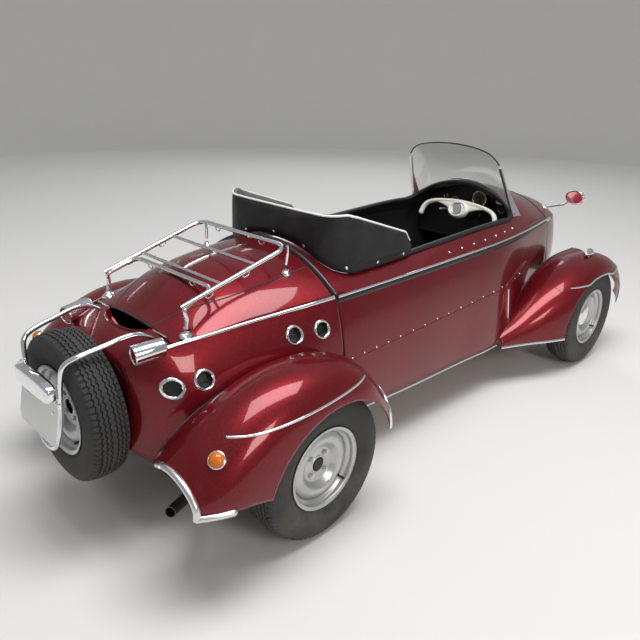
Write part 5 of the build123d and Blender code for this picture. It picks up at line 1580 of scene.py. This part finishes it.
stalk_line = on_yoke([0, 40, 78, 112, 128], [-2, 2, 0, -6, -11], [62, 48, 36, 28, 25])
stalk_path, stalk_size = blunt(through(stalk_line, 40), 0.004)
knob = 1 + 0.7 * np.clip((np.abs(stalk_path[:, 1]) - 0.098) / 0.02, 0, 1)
stalk = carry(stalk_path, round_profile(0.0034, 12), up=YOKE_AXIS, scale=stalk_size * knob)
piece("indicator_stalk", [stalk], "ivory", "body")
shroud = turned(rounded(SHROUD, 3), YOKE_HUB, YOKE_AXIS, 40)
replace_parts(piece("column_shroud", [shroud], "black_trim", "body", sharp=50), "steering_column")
print("yoke faces:", len(yoke.data.polygons))

# %% [markdown]
# The dashboard is a flat black sheet with a crackle finish, cut to the inside of the hull. Each
# instrument is a stack of turned pieces: a bright bezel, a dial a few millimetres down, a needle
# and a glass. The tick marks are thin bars set round the dial by the same row of angles.

# %% Dashboard
DASH_X, DASH_FOOT, DASH_WALL = 763.0, 572, 0.009
dash_hull = hull_at(DASH_X)
across = np.linspace(-1, 1, 61) * (dash_hull[0, 1] - 11)
dash_top = deck_height(dash_hull, np.abs(across[None]))[0] - 15
dash_y, up = np.meshgrid(across, np.linspace(0, 1, 30), indexing="ij")
dash_z = DASH_FOOT + (dash_top[:, None] - DASH_FOOT) * up
front = np.stack([np.full_like(dash_y, DASH_X - 1.0), dash_y, dash_z], axis=-1) * MM
board = thicken(piece("dashboard", [flipped(front)], "black_trim", "body"), DASH_WALL)
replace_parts(board, "dash_panel")
lip = front[:, 0] + [0.002, 0, 0.004]
piece("dashboard_lip", [carry(lip, round_profile(0.008, 14), up=(1, 0, 0))], "black_vinyl", "body")


def dial_point(centre, angle, radius, back=0.0):
    """Places on a dial that faces the driver: angle from the top, radius, distance behind the bezel."""
    angle, radius, back = np.broadcast_arrays(np.asarray(angle, float), radius, back)
    way = np.stack([back, -radius * np.sin(angle), radius * np.cos(angle)], axis=-1)
    return np.asarray(centre, float) + way * MM


# y, height, bezel radius, how far it stands out, number of ticks
GAUGES = [(-73, 805, 40, 62, 25), (95, 760, 26, 12, 13), (-172, 768, 24, 12, 9)]
# Half of the dial's sweep, the needle's angle, and the share of the bezel's radius that is open
SWEEP, NEEDLE_ANGLE, OPEN = 2.3, -2.0, 0.86
NEEDLE = np.array([(-0.9, -0.3), (0.9, -0.3), (0.9, 0.3), (-0.9, 0.3)]) * MM
bezels, dials, covers, ticks, needles = [], [], [], [], []
for y, z, radius, reach, count in GAUGES:
    face = np.array([DASH_X - reach, y, z]) * MM
    # How far forwards, and share of the radius
    bezel = [(4, 0.84), (-2, OPEN), (-2.5, 0.96), (0, 1), (4, 1), (6, 0.97), (reach - 4, 0.97), (reach, OPEN)]
    bezels.append(turned(rounded([(x, radius * part) for x, part in bezel], 1.6), face, FORWARDS, 72))
    r = np.linspace(0, radius * OPEN, 6)
    dials.append(turned(np.stack([np.full_like(r, 4.0), r], axis=-1), face, FORWARDS, 48))
    cover = np.stack([-0.5 - 2.5 * (1 - (r / r[-1]) ** 2), r], axis=-1)
    covers.append(turned(cover, face, FORWARDS, 48))
    for i, angle in enumerate(np.linspace(-SWEEP, SWEEP, count)):
        long, thick = (0.62, 0.0006) if i % 4 == 0 else (0.70, 0.0004)
        ends = dial_point(face, angle, [radius * long, radius * 0.79], 3.4)
        ticks.append(carry(ends, round_profile(thick, 4), up=(1, 0, 0)))
    ends = dial_point(face, [NEEDLE_ANGLE + np.pi, NEEDLE_ANGLE], [radius * 0.12, radius * 0.66], 2.6)
    needles.append(carry(ends, NEEDLE, up=(1, 0, 0), scale=[1, 0.25]))
    needles.append(turned([(1.2, 0), (1.4, 2.2), (3, 2.4)], face, FORWARDS, 20))
piece("gauge_bezels", bezels, "chrome", "body", sharp=50)
piece("gauge_dials", dials, "black_trim", "body")
piece("gauge_ticks", ticks, "white_piping", "body")
piece("gauge_needles", needles, "red_lens", "body")
piece("gauge_glasses", covers, "glass", "body")

# y, height, radius, how far it stands out
KNOBS = [(-20, 730, 9, 20), (20, 720, 9, 20), (62, 712, 7, 24), (-62, 716, 7, 24), (145, 783, 9, 16),
         (166, 775, 9, 16), (190, 760, 6, 22)]
# Behind the knob's face, and share of its radius
KNOB_HEAD, STEM_SHARE = [(0, 0), (0, 0.8), (3, 1), (8, 0.95), (10, 0.45)], 0.45
knobs = []
for y, z, radius, reach in KNOBS:
    head = [(behind - reach, radius * part) for behind, part in KNOB_HEAD] + [(0, radius * STEM_SHARE)]
    knobs.append(turned(rounded(head, 2), np.array([DASH_X, y, z]) * MM, FORWARDS, 24))
piece("dash_knobs", knobs, "chrome", "body", sharp=50)
relay = superbox((0.735, -0.176, 0.806), (0.020, 0.022, 0.015), 0.35)
piece("relay_box", [relay], "plate_white", "body", sharp=60)
print("gauges:", len(GAUGES), "ticks:", len(ticks))

# %% [markdown]
# ## Upholstery
# A cushion is a cloth bag that its filling pushes outwards and its seams hold back. We could raise
# bumps by a formula, but then every channel comes out alike. Here each cushion starts as a plain
# rounded block with shallow grooves, a little too small. Cloth is laid over it, the seams and the
# underside are pinned, and a small air pressure blows it up for twenty frames. No point may move
# farther than a cap, so a cushion can't grow into its neighbour.

# %% A bag of cloth, blown up
def mesh_points(mesh):
    """The mesh's points as rows of x, y, z."""
    co = np.empty(len(mesh.vertices) * 3, np.float32)
    mesh.vertices.foreach_get("co", co)
    return co.reshape(-1, 3).astype(float)


def worked_out(thing):
    """The piece with its modifiers applied, as Blender sees it now."""
    return thing.evaluated_get(bpy.context.evaluated_depsgraph_get())


def add_cloth(thing, pressure, frames):
    """A cloth modifier that blows the piece up, its points in the group "seams" held still."""
    cloth = thing.modifiers.new("cloth", "CLOTH")
    rules = cloth.settings
    rules.quality, rules.mass, rules.time_scale = 5, 0.2, 1.0
    rules.tension_stiffness = rules.compression_stiffness = 12.0
    rules.shear_stiffness, rules.bending_stiffness = 6.0, 0.4
    rules.air_damping = 4.0
    rules.use_pressure, rules.uniform_pressure_force = True, pressure
    rules.vertex_group_mass = "seams"
    rules.effector_weights.gravity = 0.0
    cloth.point_cache.frame_start, cloth.point_cache.frame_end = 1, frames


def blown_up(thing, held, cap, pressure, cell=0.006, frames=20):
    """Remeshes a closed block into small cells, pins its held points and blows the rest up."""
    remesh = thing.modifiers.new("cells", "REMESH")
    remesh.mode, remesh.voxel_size = "VOXEL", cell
    fine = bpy.data.meshes.new_from_object(worked_out(thing))
    thing.modifiers.clear()
    material = thing.data.materials[0]
    thing.data = fine
    if not fine.materials:
        fine.materials.append(material)
    start = mesh_points(fine)
    pins = thing.vertex_groups.new(name="seams")
    pins.add(np.flatnonzero(held(start)).tolist(), 1.0, "REPLACE")
    add_cloth(thing, pressure, frames)
    for frame_number in range(1, frames + 1):
        bpy.context.scene.frame_set(frame_number)
    moved = mesh_points(worked_out(thing).to_mesh()) - start
    thing.modifiers.clear()
    far = np.linalg.norm(moved, axis=1)
    moved *= (cap * np.tanh(far / cap) / np.maximum(far, 1e-9))[:, None]
    fine.vertices.foreach_set("co", (start + moved).astype(np.float32).ravel())
    bpy.context.scene.frame_set(1)
    print(thing.name, len(fine.polygons), "cells, moved up to", round(float(far.max()) / MM, 1), "mm")
    fine.polygons.foreach_set("use_smooth", np.ones(len(fine.polygons), bool))
    fine.update()
    smooth = thing.modifiers.new("subdivision", "SUBSURF")
    smooth.levels = smooth.render_levels = 1
    return thing


def laid_on(thing, starts, towards, sink=0.0):
    """Drops each start onto the piece's surface along a direction, and lets it sink in a little."""
    bpy.context.view_layer.update()
    tree = BVHTree.FromObject(thing, bpy.context.evaluated_depsgraph_get())
    found = []
    for start, way in zip(starts, unit(np.broadcast_to(np.asarray(towards, float), starts.shape))):
        place, _, _, _ = tree.ray_cast(Vector(start), Vector(way), 0.3)
        if place is not None:
            found.append(np.array(place) + way * sink)
    return np.array(found)


# %% [markdown]
# ### Seats
# Both seats are a base and a leaning back, sewn into lengthwise channels. A seat's own directions
# are its width, its length and the way its padded face looks. The block is a superellipsoid: sines
# and cosines raised to a power below one, which gives flat faces and soft corners. The grooves are
# narrow bell curves pressed into the face along each seam.

# %% Seat cushions
SEAT_POWER, SEAT_CROWN, SEAT_CAP, SEAT_PRESSURE = 0.28, 0.008, 0.011, 14.0
GROOVE_DEPTH, GROOVE_WIDTH = 0.007, 0.006
# Where the face begins over the middle plane, half a seam's width, and the share of length it runs
FACE_FROM, SEAM_HALF, SEAM_LENGTH = 0.012, 0.0042, 0.93
ACROSS = np.array([0, 1.0, 0])


def seat_block(centre, halves, length_way, face_way, seams, turns=120, levels=61):
    """Rounded block with a crowned and grooved face. halves are width, length and depth."""
    around_it = np.linspace(0, 2 * np.pi, turns + 1)[:, None]
    rise = np.linspace(-np.pi / 2, np.pi / 2, levels)[None, :]
    a = blocky(np.cos(around_it), SEAT_POWER) * blocky(np.cos(rise), SEAT_POWER)
    b = blocky(np.sin(around_it), SEAT_POWER) * blocky(np.cos(rise), SEAT_POWER)
    c = blocky(np.sin(rise), SEAT_POWER) * np.ones_like(around_it)
    inside = np.clip(1 - a**4, 0, 1) * np.clip(1 - b**4, 0, 1)
    dip = sum(np.exp(-(((a - s) * halves[0]) / GROOVE_WIDTH) ** 2) for s in seams) * GROOVE_DEPTH
    depth = c * halves[2] + np.clip(c, 0, 1) * inside * (SEAT_CROWN - dip)
    parts = ((a * halves[0], ACROSS), (b * halves[1], length_way), (depth, face_way))
    return centre + sum(size[..., None] * way for size, way in parts)


FLAT_ON, FACE_UP = np.array([1.0, 0, 0]), np.array([0, 0, 1.0])
LEAN, LEAN_FACE = unit([-0.158, 0, 0.987]), unit([0.987, 0, 0.158])
# name, middle, half width, half length, half depth, length direction, face direction
SEAT_PARTS = [
    ("front_seat_base", np.array([0.222, 0, 0.354]), 0.186, 0.190, 0.040, FLAT_ON, FACE_UP),
    ("front_seat_back", np.array([0.0197, 0, 0.366]) + 0.152 * LEAN - 0.038 * LEAN_FACE,
     0.181, 0.138, 0.027, LEAN, LEAN_FACE),
    ("rear_seat_base", np.array([-0.273, 0, 0.354]), 0.231, 0.155, 0.040, FLAT_ON, FACE_UP),
    ("rear_seat_back", np.array([-0.4403, 0, 0.366]) + 0.162 * LEAN - 0.038 * LEAN_FACE,
     0.226, 0.148, 0.027, LEAN, LEAN_FACE),
]
for name, middle, half_width, half_length, half_depth, length_way, face_way in SEAT_PARTS:
    seams = np.linspace(-0.78, 0.78, 5 if half_width < 0.2 else 7)
    grid = seat_block(middle, (half_width, half_length, half_depth), length_way, face_way, seams)
    cushion = piece(name, [grid], "seat_vinyl", "body", sharp=80)

    def held(points):
        """Points of the underside, and of the seams on the padded face."""
        local = points - middle
        height = local @ face_way
        on_seam = np.min(np.abs(local[:, 1:2] - seams * half_width), axis=1) < SEAM_HALF
        within = np.abs(local @ length_way) < SEAM_LENGTH * half_length
        return (height < -FACE_FROM) | ((height > FACE_FROM) & on_seam & within)

    blown_up(cushion, held, SEAT_CAP, pressure=SEAT_PRESSURE)
    turn = np.linspace(0, 2 * np.pi, 181)[:-1, None]
    rim = blocky(np.cos(turn), SEAT_POWER) * half_width * ACROSS
    rim = rim + blocky(np.sin(turn), SEAT_POWER) * half_length * length_way
    ring = laid_on(cushion, middle + 1.25 * rim + face_way * half_depth * 0.55, -rim, 0.0005)
    piping = through(np.concatenate([ring, ring[:1]]), 220)
    piece(name + "_piping", [carry(piping, round_profile(0.0036, 10), up=face_way)], "black_vinyl", "body")
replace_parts(bpy.data.objects["front_seat_base"], "seat_front")
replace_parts(bpy.data.objects["rear_seat_base"], "seat_rear")

# %% [markdown]
# ### Hood collar
# Behind the seats stands a padded collar that the folded hood rests in. In plan it is a U with
# round corners, and its top line rises over the passenger's shoulders and falls steeply to the
# front. The block is a flat oval whose height and foot change along the U. White piping runs along
# the top seam, and press studs hold the foot to the deck.

# %% Collar
COLLAR_FRONT, COLLAR_REAR, COLLAR_HALF, COLLAR_CORNER = -158.0, -561.0, 308.0, 104.0
COLLAR_COUNT, COLLAR_HALF_WALL, COLLAR_CAP = 200, 11.5, 0.006
# The collar's top line: x and height
TOP_X, TOP_Z = [-579, -560, -505, -350, -194, -165, -140], [946, 950, 956, 902, 846, 800, 742]
turn = np.linspace(0, np.pi / 2, 22)[1:]
half_plan = [(x, -COLLAR_HALF) for x in spaced(COLLAR_FRONT, COLLAR_REAR + COLLAR_CORNER, 9)]
half_plan += [(COLLAR_REAR + COLLAR_CORNER * (1 - math.sin(a)),
               -COLLAR_HALF + COLLAR_CORNER * (1 - math.cos(a))) for a in turn]
half_plan += [(COLLAR_REAR, y) for y in spaced(-COLLAR_HALF + COLLAR_CORNER + 9, 0, 9)]
half_plan = np.array(half_plan)
plan = through(np.concatenate([half_plan, half_plan[::-1][1:] * [1, -1]]), COLLAR_COUNT)
top_line = np.interp(plan[:, 0], TOP_X, TOP_Z)
plan_y = np.minimum(np.abs(plan[:, 1]), 352)[:, None]
foot_line = deck_height(rows_at(HULL, plan[:, 0]), plan_y)[:, 0] + 3
ahead = heading(plan)
outward = np.stack([-ahead[:, 1], ahead[:, 0]], axis=-1)


def by_collar(index, out, z):
    """Places beside the plan line in metres: some of its points, moved outwards and set at a height."""
    return np.concatenate([plan[index] + outward[index] * out, np.reshape(z, (-1, 1))], axis=1) * MM


angle = np.linspace(0, 2 * np.pi, 49)
up = (top_line + foot_line)[:, None] / 2 + (top_line - foot_line)[:, None] / 2 * blocky(np.sin(angle), 0.35)
across = COLLAR_HALF_WALL * blocky(np.cos(angle), 0.55) * (1 - 0.18 * np.clip(np.sin(angle), 0, 1))
flat = plan[:, None] + outward[:, None] * across[None, :, None]
grid = np.concatenate([flat, up[..., None]], axis=-1) * MM
collar = piece("hood_collar_padded", [closed_ends(grid)], "black_vinyl", "canopy", sharp=80)


def collar_held(points):
    """Points near the foot of the collar."""
    half = COLLAR_COUNT // 2
    foot = np.interp(points[:, 0], plan[:half, 0][::-1], foot_line[:half][::-1]) * MM
    return points[:, 2] < foot + 0.022


blown_up(collar, collar_held, COLLAR_CAP, pressure=2.5, cell=0.0065)
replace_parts(collar, "hood_collar")

# The faces that look towards the seats are lined in grey
collar.data.materials.append(finishes["grey_lining"])
normals, centres = (np.empty(len(collar.data.polygons) * 3, np.float32) for _ in range(2))
collar.data.polygons.foreach_get("normal", normals)
collar.data.polygons.foreach_get("center", centres)
normals, centres = normals.reshape(-1, 3), centres.reshape(-1, 3)
inner_side = ((np.array([-0.25, 0, 0]) - centres) * normals * [1, 1, 0]).sum(axis=1) > 0.04
collar.data.polygons.foreach_set("material_index", inner_side.astype(np.int32))

rim_at = np.arange(2, COLLAR_COUNT - 2)
way = np.concatenate([-outward[rim_at], np.full((len(rim_at), 1), -1.35)], axis=1)
rim = laid_on(collar, by_collar(rim_at, 26, top_line[rim_at] + 22), way)
piece("collar_piping", [carry(through(rim, 260), round_profile(0.0042, 12))], "white_piping", "canopy")
front_edges = []
for end in (0, -1):
    z = np.linspace(foot_line[end] + 6, top_line[end] - 6, 12)
    y = plan[end, 1] + 4 * outward[end, 1]
    start = np.stack([np.full_like(z, COLLAR_FRONT + 60), np.full_like(z, y), z], axis=-1) * MM
    edge = through(laid_on(collar, start, (-1, 0, 0), 0.001), 30)
    front_edges.append(carry(edge, round_profile(0.0036, 10), up=(1, 0, 0)))
piece("collar_front_binding", front_edges, "black_vinyl", "canopy")
# Numbers of the plan's points that carry a stud
STUDS_AT = [8, 30, 52, 76, 99, 123, 147, 169, 191]
stud_way = np.concatenate([-outward[STUDS_AT], np.zeros((len(STUDS_AT), 1))], axis=1)
stud_seats = laid_on(collar, by_collar(STUDS_AT, 50, foot_line[STUDS_AT] + 20), stud_way, 0.0005)
domes(stud_seats, -stud_way[: len(stud_seats)], 6.0, 3.6, "collar_studs", "chrome", "canopy", sides=16)
print("collar studs:", len(stud_seats))
